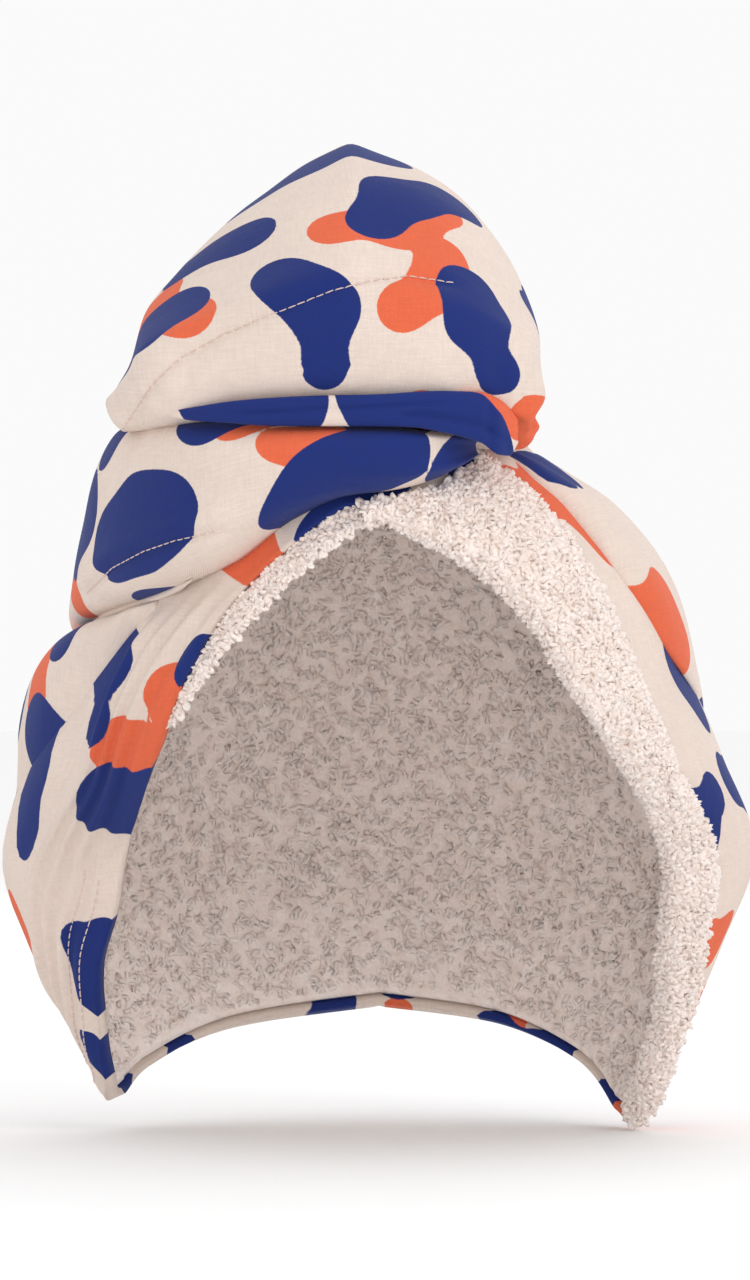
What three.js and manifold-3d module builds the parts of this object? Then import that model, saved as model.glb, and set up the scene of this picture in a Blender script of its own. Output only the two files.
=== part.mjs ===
// A hair turban towel in its worn form: a terry-lined hood whose tail is twisted over the forehead,
// laid back over the crown and buttoned at the nape by an elastic loop.
// Millimetres, +Z up, the face opening towards -Y, the wearer's left at +X.
// The origin is where the lining rests on the crown of the head.

import * as THREE from "three";
import { mergeVertices } from "three/addons/utils/BufferGeometryUtils.js";
import Module from "manifold-3d";

// Cloth
const PRINT_WALL = 1.6; // printed cloth with its backing
const LINING_WALL = 2.2; // looped terry
const LAYER_GAP = 0.4; // air between cloths that lie on each other
const FOLD_WALL = 2.6; // doubled cloth of a fold
const FOLD_REST = 1.3; // how far the feet of a fold lie above the hood

// Hood, measured from the crown to its outside
const HOOD_HALF_WIDTH = 110; // to either side, over the ears
const HOOD_FRONT = 101; // to the forehead
const HOOD_BACK = 113; // to the back of the head
const HOOD_DROP = 209; // to the lowest point behind the ears

// Folds, cuff and pleats
const WRAP_RISE = 20; // how far the front wrap stands off the forehead
const WRAP_BEHIND = 0.12; // height of the wrap at the back of the head, a share of HOOD_DROP
const SIDE_RISE = 9.8;
const SHOULDER_RISE = 5;
const TUCK_RISE = 6;
const TUCK_LEAN = 70; // how far back the tuck would lie over the ears
const CUFF_WIDTH = 38;
const CUFF_WALL = 3.4;
const CUFF_ROLL = 2.6; // how far the cuff stands past the hem
const PLEAT_RISE = 2.6;
const PLEAT_SPREAD = 30; // from the hem to the last pleat
const LINING_PEEK = 7; // lining that shows below the printed hem

// Twisted tail
const TAIL_RISE = 80; // height of its mound above the crown
const TAIL_LEFT = 69;
const TAIL_RIGHT = 54;
const TAIL_WALL = 3.2;
const TAIL_SAG = 40; // how far its sides may hang until they rest on the hood, at the forehead
const TAIL_SETTLE = 7; // the same at the back, below the middle of the rope
const TAIL_FRONT_END = 10; // how far behind the crown its underside stops following the crease
const TAIL_WRAP_END = 75; // the same over the front wrap
const TAIL_FADE = 30; // length over which it lets go of the crease
const FAN_FRONT = 30; // fan angle of its first section, in degrees above the forward horizontal
const PIVOT_BACK = 5; // where the fan of its sections turns
const PIVOT_DROP = 60;

// Fastening at the nape
const BUTTON_RADIUS = 11;
const BUTTON_THICK = 4;
const SHANK_RADIUS = 3.5;
const SHANK_LENGTH = 4.4;
const LOOP_THICK = 3;
const LOOP_REACH = 15; // from the shank up to the tail's tip
const TIP_COVER = 5; // how far the middle of the tail's tip lies above the loop's ends
const NAPE = { turn: 180, drop: 0.765 }; // where the button is sewn

const CROWN = LINING_WALL + LAYER_GAP + PRINT_WALL; // height of the hood's outside at the crown

// Horizontal sections of the hood's outside, from the mouth of the tail down to the lowest tips.
// drop is a share of HOOD_DROP, right and left of HOOD_HALF_WIDTH, front of HOOD_FRONT, back and
// middle of HOOD_BACK. middle is where the section is widest.
const SECTIONS = [
  { drop: 0, right: 0.254, left: 0.254, front: 0.693, back: -0.124, middle: -0.372 },
  { drop: 0.0153, right: 0.33, left: 0.336, front: 0.752, back: 0.106, middle: -0.292 },
  { drop: 0.049, right: 0.39, left: 0.427, front: 0.822, back: 0.46, middle: -0.142 },
  { drop: 0.087, right: 0.48, left: 0.509, front: 0.881, back: 0.637, middle: -0.071 },
  { drop: 0.135, right: 0.596, left: 0.6, front: 0.941, back: 0.761, middle: 0 },
  { drop: 0.235, right: 0.727, left: 0.695, front: 1, back: 0.894, middle: 0.044 },
  { drop: 0.346, right: 0.8, left: 0.795, front: 0.98, back: 0.973, middle: 0.088 },
  { drop: 0.46, right: 0.897, left: 0.905, front: 0.743, back: 1, middle: 0.142 },
  { drop: 0.613, right: 0.997, left: 1, front: 0.218, back: 0.965, middle: 0.212 },
  { drop: 0.738, right: 0.912, left: 0.93, front: 0.119, back: 0.894, middle: 0.265 },
  { drop: 0.857, right: 0.82, left: 0.83, front: 0, back: 0.823, middle: 0.319 },
  { drop: 1, right: 0.69, left: 0.69, front: -0.198, back: 0.743, middle: 0.389 },
];

// The hem, from the nape round the wearer's right, over the forehead and round the left to the nape.
// crown is the direction at the tail's mouth that a column of cloth runs to, turn its direction at
// the hem, both in degrees from the front. peek is a share of LINING_PEEK.
const HEM = [
  { crown: -180, turn: -180, drop: 0.84, peek: 0 },
  { crown: -158, turn: -152, drop: 0.868, peek: 0 },
  { crown: -138, turn: -122, drop: 0.925, peek: 0 },
  { crown: -122, turn: -97, drop: 0.962, peek: 0 },
  { crown: -110, turn: -79, drop: 0.945, peek: 0 },
  { crown: -101, turn: -66, drop: 0.875, peek: 0 },
  { crown: -93, turn: -55.3, drop: 0.77, peek: 0 },
  { crown: -85, turn: -44.5, drop: 0.665, peek: 0 },
  { crown: -76, turn: -40.3, drop: 0.556, peek: 0 },
  { crown: -66, turn: -38.7, drop: 0.455, peek: 0.05 },
  { crown: -55, turn: -35, drop: 0.362, peek: 0.5 },
  { crown: -42, turn: -27.5, drop: 0.28, peek: 0.95 },
  { crown: -28, turn: -17.5, drop: 0.212, peek: 1 },
  { crown: -13, turn: -8, drop: 0.163, peek: 0.9 },
  { crown: 0, turn: 0, drop: 0.138, peek: 0.2 },
  { crown: 14, turn: 10, drop: 0.158, peek: 0 },
  { crown: 29, turn: 22.6, drop: 0.205, peek: 0 },
  { crown: 44, turn: 33.2, drop: 0.283, peek: 0 },
  { crown: 57, turn: 40.2, drop: 0.382, peek: 0 },
  { crown: 69, turn: 47, drop: 0.5, peek: 0 },
  { crown: 80, turn: 51.8, drop: 0.62, peek: 0 },
  { crown: 90, turn: 57.6, drop: 0.735, peek: 0 },
  { crown: 99, turn: 66.8, drop: 0.84, peek: 0 },
  { crown: 108, turn: 75, drop: 0.945, peek: 0 },
  { crown: 118, turn: 86, drop: 0.998, peek: 0 },
  { crown: 132, turn: 107, drop: 0.985, peek: 0 },
  { crown: 148, turn: 134, drop: 0.915, peek: 0 },
  { crown: 164, turn: 159, drop: 0.86, peek: 0 },
];

// Pleats beside the wearer's right-hand hem: at is a share of PLEAT_SPREAD, height of PLEAT_RISE.
const PLEATS = [
  { at: 0.2, height: 0.55, width: 0.13 },
  { at: 0.46, height: 0.9, width: 0.14 },
  { at: 0.72, height: 0.75, width: 0.12 },
  { at: 0.97, height: 1, width: 0.15 },
];

// Where the front wrap's upper edge and the tail's lower edge meet, seen from the front.
// across is a share of HOOD_HALF_WIDTH, wrap and tail are drops of the two edges.
const CREASE = [
  { across: -0.86, wrap: 0.08, tail: 0.073 },
  { across: -0.73, wrap: 0.048, tail: 0.041 },
  { across: -0.66, wrap: 0.021, tail: 0.014 },
  { across: -0.5, wrap: 0.016, tail: 0.008 },
  { across: -0.36, wrap: 0.02, tail: -0.007 },
  { across: -0.18, wrap: 0.028, tail: -0.011 },
  { across: 0, wrap: 0.029, tail: -0.009 },
  { across: 0.14, wrap: 0.034, tail: -0.01 },
  { across: 0.26, wrap: 0.047, tail: -0.009 },
  { across: 0.34, wrap: 0.062, tail: 0.01 },
  { across: 0.4, wrap: 0.07, tail: 0.045 },
  { across: 0.5, wrap: 0.078, tail: 0.07 },
];

// The front wrap, from behind the wearer's right ear over the forehead to where it is tucked in.
// low is the drop of its lower edge, inset how far its upper edge leans in, and rise how far it
// stands off, both shares of WRAP_RISE.
const FRONT_WRAP = [
  { turn: -158, low: 0.41, inset: 0.05, rise: 0.07 },
  { turn: -143, low: 0.395, inset: 0.4, rise: 0.24 },
  { turn: -125, low: 0.36, inset: 0.7, rise: 0.4 },
  { turn: -105, low: 0.322, inset: 0.9, rise: 0.5 },
  { turn: -90, low: 0.297, inset: 0.9, rise: 0.58 },
  { turn: -75, low: 0.28, inset: 0.62, rise: 0.6 },
  { turn: -60, low: 0.262, inset: 0.2, rise: 0.7 },
  { turn: -46, low: 0.24, inset: -0.05, rise: 0.8 },
  { turn: -32, low: 0.206, inset: -0.2, rise: 0.85 },
  { turn: -20, low: 0.15, inset: -0.25, rise: 0.85 },
  { turn: -8, low: 0.12, inset: -0.3, rise: 0.75 },
  { turn: 4, low: 0.112, inset: -0.3, rise: 0.65 },
  { turn: 15, low: 0.096, inset: -0.2, rise: 0.45 },
  { turn: 26, low: 0.074, inset: -0.1, rise: 0.25 },
];

// The two folds that lie on the hood: low and high are drops of their edges, rise a share of the
// fold's own rise.
const SIDE_FOLD = [
  { turn: -162, low: 0.545, high: 0.44, rise: 0.06 },
  { turn: -142, low: 0.58, high: 0.408, rise: 0.32 },
  { turn: -115, low: 0.575, high: 0.352, rise: 0.75 },
  { turn: -90, low: 0.53, high: 0.306, rise: 1 },
  { turn: -76, low: 0.48, high: 0.289, rise: 0.95 },
  { turn: -66, low: 0.395, high: 0.277, rise: 0.7 },
  { turn: -57, low: 0.305, high: 0.266, rise: 0.35 },
  { turn: -51, low: 0.27, high: 0.257, rise: 0.12 },
];
const SHOULDER_FOLD = [
  { turn: 50.5, low: 0.098, high: 0.062, rise: 0.35 },
  { turn: 54, low: 0.155, high: 0.058, rise: 0.8 },
  { turn: 60, low: 0.235, high: 0.055, rise: 0.9 },
  { turn: 72, low: 0.332, high: 0.055, rise: 0.95 },
  { turn: 90, low: 0.4, high: 0.055, rise: 1 },
  { turn: 115, low: 0.465, high: 0.09, rise: 0.85 },
  { turn: 138, low: 0.49, high: 0.19, rise: 0.5 },
  { turn: 157, low: 0.47, high: 0.34, rise: 0.12 },
];

// The cuff of turned-back terry: width is a share of CUFF_WIDTH and rise of CUFF_WALL.
const CUFF = [
  { crown: -6, width: 0.25, rise: 0.75 },
  { crown: 8, width: 0.6, rise: 0.9 },
  { crown: 22, width: 0.95, rise: 1 },
  { crown: 38, width: 1, rise: 1 },
  { crown: 55, width: 0.72, rise: 1 },
  { crown: 70, width: 0.55, rise: 1 },
  { crown: 84, width: 0.5, rise: 0.95 },
  { crown: 96, width: 0.42, rise: 0.9 },
  { crown: 106, width: 0.32, rise: 0.85 },
  { crown: 114, width: 0.2, rise: 0.7 },
];

// Sections of the twisted tail, in planes that fan out from a pivot inside the head: along is the
// plane's share of the way from FAN_FRONT to the tip, rise a share of TAIL_RISE, left and right of
// TAIL_LEFT and TAIL_RIGHT, shift of TAIL_RIGHT, round how much of a rope it is
// and furrow of FURROW_DEPTH.
const TAIL = [
  { along: 0, rise: 0.33, left: 0.95, right: 0.95, shift: -0.15, round: 0, furrow: 0 },
  { along: 0.032, rise: 0.53, left: 0.99, right: 0.99, shift: -0.15, round: 0, furrow: 0 },
  { along: 0.086, rise: 0.77, left: 1, right: 1, shift: -0.15, round: 0, furrow: 0 },
  { along: 0.16, rise: 0.97, left: 1, right: 1, shift: -0.15, round: 0, furrow: 0 },
  { along: 0.241, rise: 1, left: 0.97, right: 0.97, shift: -0.15, round: 0, furrow: 0.1 },
  { along: 0.332, rise: 0.88, left: 0.86, right: 0.88, shift: -0.13, round: 0.2, furrow: 0.3 },
  { along: 0.428, rise: 0.7, left: 0.68, right: 0.76, shift: -0.1, round: 0.6, furrow: 0.7 },
  { along: 0.535, rise: 0.54, left: 0.54, right: 0.62, shift: -0.06, round: 0.9, furrow: 1 },
  { along: 0.652, rise: 0.43, left: 0.43, right: 0.54, shift: -0.03, round: 1, furrow: 1 },
  { along: 0.781, rise: 0.36, left: 0.36, right: 0.45, shift: 0, round: 1, furrow: 1 },
  { along: 0.914, rise: 0.26, left: 0.27, right: 0.34, shift: 0, round: 1, furrow: 0.9 },
  { along: 1, rise: 0.13, left: 0.14, right: 0.18, shift: 0, round: 1, furrow: 0.4 },
];

// The shape of the tail's sections above their widest place: up is a share of the height, left and
// right are shares of the two half widths.
const TAIL_OUTLINE = [
  { up: 0, left: 0.985, right: 0.965 },
  { up: 0.1, left: 0.91, right: 0.985 },
  { up: 0.2, left: 0.875, right: 1 },
  { up: 0.37, left: 0.845, right: 0.965 },
  { up: 0.54, left: 0.725, right: 0.87 },
  { up: 0.72, left: 0.5, right: 0.69 },
  { up: 0.815, left: 0.355, right: 0.56 },
  { up: 0.905, left: 0.215, right: 0.37 },
  { up: 1, left: 0, right: 0 },
];
const FURROW_DEPTH = 0.2; // of the section's size
const FURROWS = 3;
const FURROW_TURNS = 1.6; // turns of the twist from the forehead to the nape

const COLUMN_SPREAD = 2.4; // how early a column of the hood swings out from the hem
const COLUMN_CLIMB = 1.3; // how late it starts to climb
const DEGREE = Math.PI / 180;

const lerp = THREE.MathUtils.lerp;
const clamp = THREE.MathUtils.clamp;

/** The row of a table at a key between its rows, every column on a smooth curve without overshoot. */
function rowAt(table, key, value) {
  const last = table.length - 1;
  const at = clamp(value, table[0][key], table[last][key]);
  let i = 0;
  while (i < last - 1 && at > table[i + 1][key]) i += 1;
  const span = table[i + 1][key] - table[i][key];
  const t = (at - table[i][key]) / span;
  const row = {};
  for (const name of Object.keys(table[i])) {
    const slope = (k) => {
      if (k < 0 || k >= last) return 0;
      return (table[k + 1][name] - table[k][name]) / (table[k + 1][key] - table[k][key]);
    };
    const tangent = (k) => {
      if (k === 0) return slope(0);
      if (k === last) return slope(last - 1);
      const [before, after] = [slope(k - 1), slope(k)];
      return before * after <= 0 ? 0 : (2 * before * after) / (before + after);
    };
    const [m0, m1] = [tangent(i) * span, tangent(i + 1) * span];
    const [p0, p1] = [table[i][name], table[i + 1][name]];
    row[name] =
      p0 + t * (m0 + t * (3 * (p1 - p0) - 2 * m0 - m1 + t * (2 * (p0 - p1) + m0 + m1)));
  }
  return row;
}

const heightOf = (drop) => CROWN - drop * HOOD_DROP;
const dropOf = (z) => (CROWN - z) / HOOD_DROP;

/** A point of the hood's smooth outside, for a turn in degrees from the front and a drop. */
function formPoint(turn, drop) {
  const s = rowAt(SECTIONS, "drop", drop);
  const across = Math.sin(turn * DEGREE);
  const along = Math.cos(turn * DEGREE);
  const half = (across > 0 ? s.right : s.left) * HOOD_HALF_WIDTH;
  const middle = s.middle * HOOD_BACK;
  const reach = along > 0 ? -s.front * HOOD_FRONT - middle : middle - s.back * HOOD_BACK;
  return new THREE.Vector3(across * half, middle + along * reach, heightOf(drop));
}

/** The outward direction of the hood's smooth outside. */
function formNormal(turn, drop) {
  const [angle, step] = [0.5, 0.004];
  const upper = Math.max(drop - step, 0);
  const round = formPoint(turn + angle, drop).sub(formPoint(turn - angle, drop));
  const down = formPoint(turn, upper + 2 * step).sub(formPoint(turn, upper));
  return down.cross(round).normalize();
}

/** A point that stands off the hood's outside by lift. */
function offForm(turn, drop, lift) {
  return formPoint(turn, drop).addScaledVector(formNormal(turn, drop), lift);
}

// The hem closed on itself, so that it can be read at any crown direction.
const HEM_LOOP = [...HEM, { ...HEM[0], crown: 180, turn: 180 }];

/** Turn and drop of a column of the hood, at a share of the way from the hem to the tail's mouth. */
function columnAt(crown, share) {
  const hem = rowAt(HEM_LOOP, "crown", crown);
  const swing = 1 - (1 - share) ** COLUMN_SPREAD;
  const climb = Math.sign(share) * Math.abs(Math.sin((share * Math.PI) / 2)) ** COLUMN_CLIMB;
  return { turn: lerp(hem.turn, crown, swing), drop: hem.drop * (1 - climb) };
}

/** The share of a column that lies a length in millimetres above the hem, or below it if negative. */
function shareAt(crown, length) {
  const STEP = 0.004;
  const point = (share) => {
    const { turn, drop } = columnAt(crown, share);
    return formPoint(turn, drop);
  };
  const side = Math.sign(length);
  let [share, gone, last] = [0, 0, 0];
  while (gone < Math.abs(length) && share < 1 - STEP) {
    last = point(side * share).distanceTo(point(side * (share + STEP)));
    gone += last;
    share += STEP;
  }
  return length === 0 ? 0 : side * (share - (STEP * (gone - Math.abs(length))) / last);
}

/** How far the pleats lift the hood's cloth, for a distance in millimetres from the hem. */
function pleatLift(crown, length, turn, drop) {
  const ends = clamp((crown + 112) / 14, 0, 1) * clamp((-20 - crown) / 14, 0, 1);
  const wrapLow = rowAt(FRONT_WRAP, "turn", turn).low;
  const belowWrap = clamp(((drop - wrapLow) * HOOD_DROP - 3) / 14, 0, 1);
  let lift = 0;
  for (const { at, height, width } of PLEATS) {
    const away = (length / PLEAT_SPREAD - at) / width;
    lift += height * PLEAT_RISE * Math.exp(-away * away);
  }
  return lift * ends * belowWrap;
}

/** A closed wall between two grids of points, outside and inside; loop joins the first and last rows. */
function wallGeometry(outer, inner, loop = false) {
  const [rows, columns] = [outer.length, outer[0].length];
  const positions = [...outer.flat(), ...inner.flat()].flatMap((p) => [p.x, p.y, p.z]);
  const at = (layer, i, j) => layer * rows * columns + (i % rows) * columns + j;
  const index = [];
  const quad = (a, b, c, d) => index.push(a, b, c, a, c, d);
  for (let i = 0; i < (loop ? rows : rows - 1); i += 1) {
    for (let j = 0; j < columns - 1; j += 1) {
      quad(at(0, i, j), at(0, i + 1, j), at(0, i + 1, j + 1), at(0, i, j + 1));
      quad(at(1, i, j), at(1, i, j + 1), at(1, i + 1, j + 1), at(1, i + 1, j));
    }
    quad(at(0, i, 0), at(1, i, 0), at(1, i + 1, 0), at(0, i + 1, 0));
    const end = columns - 1;
    quad(at(0, i, end), at(0, i + 1, end), at(1, i + 1, end), at(1, i, end));
  }
  if (!loop) {
    for (let j = 0; j < columns - 1; j += 1) {
      quad(at(0, 0, j), at(0, 0, j + 1), at(1, 0, j + 1), at(1, 0, j));
      const end = rows - 1;
      quad(at(0, end, j), at(1, end, j), at(1, end, j + 1), at(0, end, j + 1));
    }
  }
  const geometry = new THREE.BufferGeometry();
  geometry.setAttribute("position", new THREE.Float32BufferAttribute(positions, 3));
  geometry.setIndex(index);
  geometry.computeVertexNormals();
  return geometry;
}

/** Shares from 0 to 1, closer together near 0 where power is above 1. */
const shares = (steps, power = 1) =>
  Array.from({ length: steps + 1 }, (_, k) => (k / steps) ** power);

/** Crown directions of the hood's columns, as close together as the hem's rows. */
function crownSteps(perRow) {
  return HEM.flatMap((row, k) =>
    shares(perRow - 1, 1).map((_, n) => lerp(row.crown, HEM_LOOP[k + 1].crown, n / perRow)),
  );
}

/** Lengths above the hem at which the hood has a row of points before they spread out evenly. */
const HEM_ROWS = [0, 0.2, 0.4, 0.6, 0.8, 1].map((share) => share * PLEAT_SPREAD);

/** A wall of the hood: two lifts off its smooth outside, and the length it starts above the hem. */
function hoodWall({ outerLift, innerLift, pleated, starts, hemRows, perRow, steps }) {
  const grids = [outerLift, innerLift].map((base) =>
    crownSteps(perRow).map((crown) => {
      const start = starts(rowAt(HEM_LOOP, "crown", crown));
      const near = hemRows.map((length) => lerp(start, PLEAT_SPREAD, length / PLEAT_SPREAD));
      const last = shareAt(crown, near[near.length - 1]);
      const above = shares(steps).slice(1).map((share) => lerp(last, 1, share));
      return [...near.map((length) => shareAt(crown, length)), ...above].map((share, k) => {
        const { turn, drop } = columnAt(crown, share);
        const pleat = pleated && k < near.length ? pleatLift(crown, near[k], turn, drop) : 0;
        return offForm(turn, drop, base + pleat);
      });
    }),
  );
  return wallGeometry(...grids, true);
}

/** The two feet and the standing directions of a cross-section of an arch become a curve of cloth. */
function archPoints(foot, head, out, rise, wall, steps) {
  const chord = head.clone().sub(foot);
  const squeeze = clamp(1 - (2 * wall) / Math.max(chord.length(), 2.2 * wall), 0.1, 1);
  const curve = (width, height) =>
    shares(steps).map((t) => {
      const angle = Math.PI * t;
      const side = -Math.sign(Math.cos(angle)) * Math.abs(Math.cos(angle)) ** 0.6;
      const stand = Math.sin(angle) ** 0.6;
      return foot
        .clone()
        .addScaledVector(chord, 0.5 + 0.5 * side * width)
        .addScaledVector(out, stand * height);
    });
  return [curve(1, rise), curve(squeeze, Math.max(rise - wall, 0))];
}

/** Stations between the first and last row of a table, more of them where its rows are closer. */
function stations(table, key, perRow) {
  const keys = [];
  for (let k = 0; k < table.length - 1; k += 1)
    for (let n = 0; n < perRow; n += 1)
      keys.push(lerp(table[k][key], table[k + 1][key], n / perRow));
  return [...keys, table[table.length - 1][key]];
}

/** The front wrap: a stout roll of cloth that stands on the forehead, below the tail. */
function frontWrap() {
  const [outer, inner] = [[], []];
  for (const turn of stations(FRONT_WRAP, "turn", 2)) {
    const row = rowAt(FRONT_WRAP, "turn", turn);
    const foot = offForm(turn, row.low, FOLD_REST);
    const out = formNormal(turn, row.low).setZ(0).normalize();
    const head = foot.clone().addScaledVector(out, -row.inset * WRAP_RISE);
    const behind = clamp((-turn - 95) / 60, 0, 1);
    const upper = rowAt(CREASE, "across", head.x / HOOD_HALF_WIDTH).wrap;
    head.setZ(Math.max(heightOf(upper), foot.z + 2));
    head.lerp(offForm(turn, row.low - WRAP_BEHIND, FOLD_REST), behind);
    const arch = archPoints(foot, head, out, row.rise * WRAP_RISE, FOLD_WALL, 8);
    outer.push(arch[0]);
    inner.push(arch[1]);
  }
  return wallGeometry(outer, inner);
}

/** A fold that lies on the hood between two drops, hollow below; it is fullest high up if crest is above 1. */
function hoodFold(table, fullRise, crest, across) {
  const [outer, inner] = [[], []];
  for (const turn of stations(table, "turn", 2)) {
    const { low, high, rise } = rowAt(table, "turn", turn);
    const width = formPoint(turn, low).distanceTo(formPoint(turn, high));
    const squeeze = clamp(1 - (2 * FOLD_WALL) / Math.max(width, 1), 0.3, 1);
    const height = Math.max(rise * fullRise, 0.8);
    const curve = (share, lift) =>
      shares(across).map((t) => {
        const angle = Math.PI * t;
        const side = -Math.sign(Math.cos(angle)) * Math.abs(Math.cos(angle)) ** 0.7;
        const drop = lerp(low, high, 0.5 + 0.5 * side * share);
        const stand = Math.sin(Math.PI * (0.5 + 0.5 * side) ** crest) ** 0.6;
        return offForm(turn, drop, FOLD_REST + lift * Math.max(stand, 0));
      });
    outer.push(curve(1, height));
    inner.push(curve(squeeze, Math.max(height - FOLD_WALL, 0)));
  }
  return wallGeometry(outer, inner);
}

/** The turned-back terry along the wearer's left-hand hem; it ends below the front wrap. */
function terryCuff() {
  const CLEAR = 0.012;
  const STEP = 0.5;
  const reach = (crown, width) => {
    let length = 0;
    const isClear = () => {
      const { turn, drop } = columnAt(crown, shareAt(crown, length + STEP));
      return turn > 32 || drop > rowAt(FRONT_WRAP, "turn", turn).low + CLEAR;
    };
    while (length < width && isClear()) length += STEP;
    return length;
  };
  const [outer, inner] = [[], []];
  for (const crown of stations(CUFF, "crown", 3)) {
    const { width, rise } = rowAt(CUFF, "crown", crown);
    const far = Math.max(reach(crown, width * CUFF_WIDTH), 2);
    const curve = (lift) =>
      shares(6).map((t) => {
        const { turn, drop } = columnAt(crown, shareAt(crown, lerp(-CUFF_ROLL, far, t)));
        return offForm(turn, drop, 2 * LAYER_GAP + lift * Math.sin(Math.PI * lerp(0.12, 0.9, t)) ** 0.5);
      });
    outer.push(curve(rise * CUFF_WALL));
    inner.push(curve(0));
  }
  return wallGeometry(outer, inner);
}

/** The roll that is tucked between the front wrap and the tail. */
function twistTuck() {
  const [outer, inner] = [[], []];
  const [first, last] = [-0.47, 0.385];
  for (const step of shares(18)) {
    const across = lerp(first, last, step);
    const row = rowAt(CREASE, "across", across);
    const x = across * HOOD_HALF_WIDTH;
    const y = -HOOD_FRONT + across ** 2 * TUCK_LEAN;
    const foot = new THREE.Vector3(x, y, heightOf(row.wrap) + LAYER_GAP);
    const head = new THREE.Vector3(x, y, heightOf(row.tail) - LAYER_GAP);
    const out = new THREE.Vector3(x, y, 0).normalize();
    const ends = clamp(Math.min(step, 1 - step) * 6, 0.3, 1);
    const arch = archPoints(foot, head, out, TUCK_RISE * ends, FOLD_WALL * 0.6, 6);
    outer.push(arch[0]);
    inner.push(arch[1]);
  }
  return wallGeometry(outer, inner);
}

/** The distance from the tail's pivot to the hood's outside, in the fan's plane at a place across. */
function hoodReach(fan, x) {
  const [forward, up] = [Math.cos(fan * DEGREE), Math.sin(fan * DEGREE)];
  const isInside = (reach) => {
    const z = reach * up - PIVOT_DROP;
    const y = PIVOT_BACK - reach * forward;
    if (z > CROWN) return false;
    const s = rowAt(SECTIONS, "drop", dropOf(z));
    const middle = s.middle * HOOD_BACK;
    const half = (x > 0 ? s.right : s.left) * HOOD_HALF_WIDTH;
    const depth = y < middle ? middle + s.front * HOOD_FRONT : s.back * HOOD_BACK - middle;
    return (x / half) ** 2 + ((y - middle) / depth) ** 2 < 1;
  };
  let [inside, outside] = [0, 2 * HOOD_BACK];
  for (let k = 0; k < 22; k += 1) {
    const middle = (inside + outside) / 2;
    if (isInside(middle)) inside = middle;
    else outside = middle;
  }
  return inside;
}

const tip = formPoint(NAPE.turn, NAPE.drop - (LOOP_REACH + TIP_COVER) / HOOD_DROP);
const FAN_TIP = 180 + Math.atan2(-PIVOT_DROP - tip.z, tip.y - PIVOT_BACK) / DEGREE;

/** A closed skin of the tail, drawn in from its outside by inset. */
function tailSkin(inset, fanSteps, roundSteps) {
  const [first, last] = [FAN_FRONT + inset * 0.7, FAN_TIP - inset * 2];
  const sections = shares(fanSteps).map((step) => {
    const fan = lerp(first, last, step);
    const row = rowAt(TAIL, "along", (fan - FAN_FRONT) / (FAN_TIP - FAN_FRONT));
    const [forward, up] = [Math.cos(fan * DEGREE), Math.sin(fan * DEGREE)];
    const rest = 2 * LAYER_GAP;
    const floor = hoodReach(fan, 0) + rest;
    const rise = row.rise * TAIL_RISE;
    const under = lerp(Math.min(0.1 * rise, 4), 0.45 * rise, row.round);
    const level = floor + under;
    const top = floor + rise - level;
    const shift = row.shift * TAIL_RIGHT;
    const twist = (fan / 200) * FURROW_TURNS * 2 * Math.PI;
    return Array.from({ length: roundSteps }, (_, k) => {
      const angle = (2 * Math.PI * k) / roundSteps;
      const [side, high] = [Math.sin(angle), Math.cos(angle)];
      const furrow = 1 - row.furrow * FURROW_DEPTH * (0.5 + 0.5 * Math.cos(FURROWS * angle + twist));
      const half = (side > 0 ? row.right * TAIL_RIGHT : row.left * TAIL_LEFT) - inset;
      const shape = rowAt(TAIL_OUTLINE, "up", Math.max(high, 0));
      const crest = side > 0 ? shape.right : -shape.left;
      const belly = Math.sign(side) * Math.abs(side) ** lerp(0.7, 0.8, row.round);
      const share = high > 0 ? lerp(crest, side, row.round) : belly;
      const x = shift + half * share * furrow;
      const hang = lerp(TAIL_SAG, under + TAIL_SETTLE, row.round) * high;
      const height = high > 0 ? (top - inset) * high * furrow : hang;
      const reach = Math.max(hoodReach(fan, x) + rest + inset, level + height);
      const point = new THREE.Vector3(x, PIVOT_BACK - reach * forward, reach * up - PIVOT_DROP);
      const crease = heightOf(rowAt(CREASE, "across", x / HOOD_HALF_WIDTH).tail) + 3 * LAYER_GAP + inset;
      const besideWrap = clamp((-0.35 - x / HOOD_HALF_WIDTH) / 0.2, 0, 1);
      const overWrap = besideWrap * clamp((TAIL_WRAP_END - point.y) / TAIL_FADE, 0, 1);
      const fromFront = Math.max(clamp((TAIL_FRONT_END - point.y) / TAIL_FADE, 0, 1), overWrap);
      point.z = lerp(point.z, Math.max(point.z, crease), fromFront);
      return point;
    });
  });
  return skinGeometry(sections);
}

/** A closed skin through rings of points; each end ring is closed by rungs from its front to its back. */
function skinGeometry(rings) {
  const count = rings[0].length;
  const positions = rings.flat().flatMap((p) => [p.x, p.y, p.z]);
  const index = [];
  for (let k = 0; k < count; k += 1) {
    const next = (k + 1) % count;
    for (let i = 0; i < rings.length - 1; i += 1) {
      const [a, b] = [i * count, (i + 1) * count];
      index.push(a + k, a + next, b + next, a + k, b + next, b + k);
    }
  }
  const last = (rings.length - 1) * count;
  const quarter = count / 4;
  const rung = (j) => [(quarter - j + count) % count, (quarter + j) % count];
  for (let j = 0; j < count / 2; j += 1) {
    const [[a, b], [c, d]] = [rung(j), rung(j + 1)];
    for (const [base, corners] of [[0, [[a, c, b], [b, c, d]]], [last, [[a, b, c], [b, d, c]]]])
      for (const corner of corners)
        if (new Set(corner).size === 3) index.push(...corner.map((k) => base + k));
  }
  const geometry = new THREE.BufferGeometry();
  geometry.setAttribute("position", new THREE.Float32BufferAttribute(positions, 3));
  geometry.setIndex(index);
  return geometry;
}

const wasm = await Module();
wasm.setup();

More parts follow.
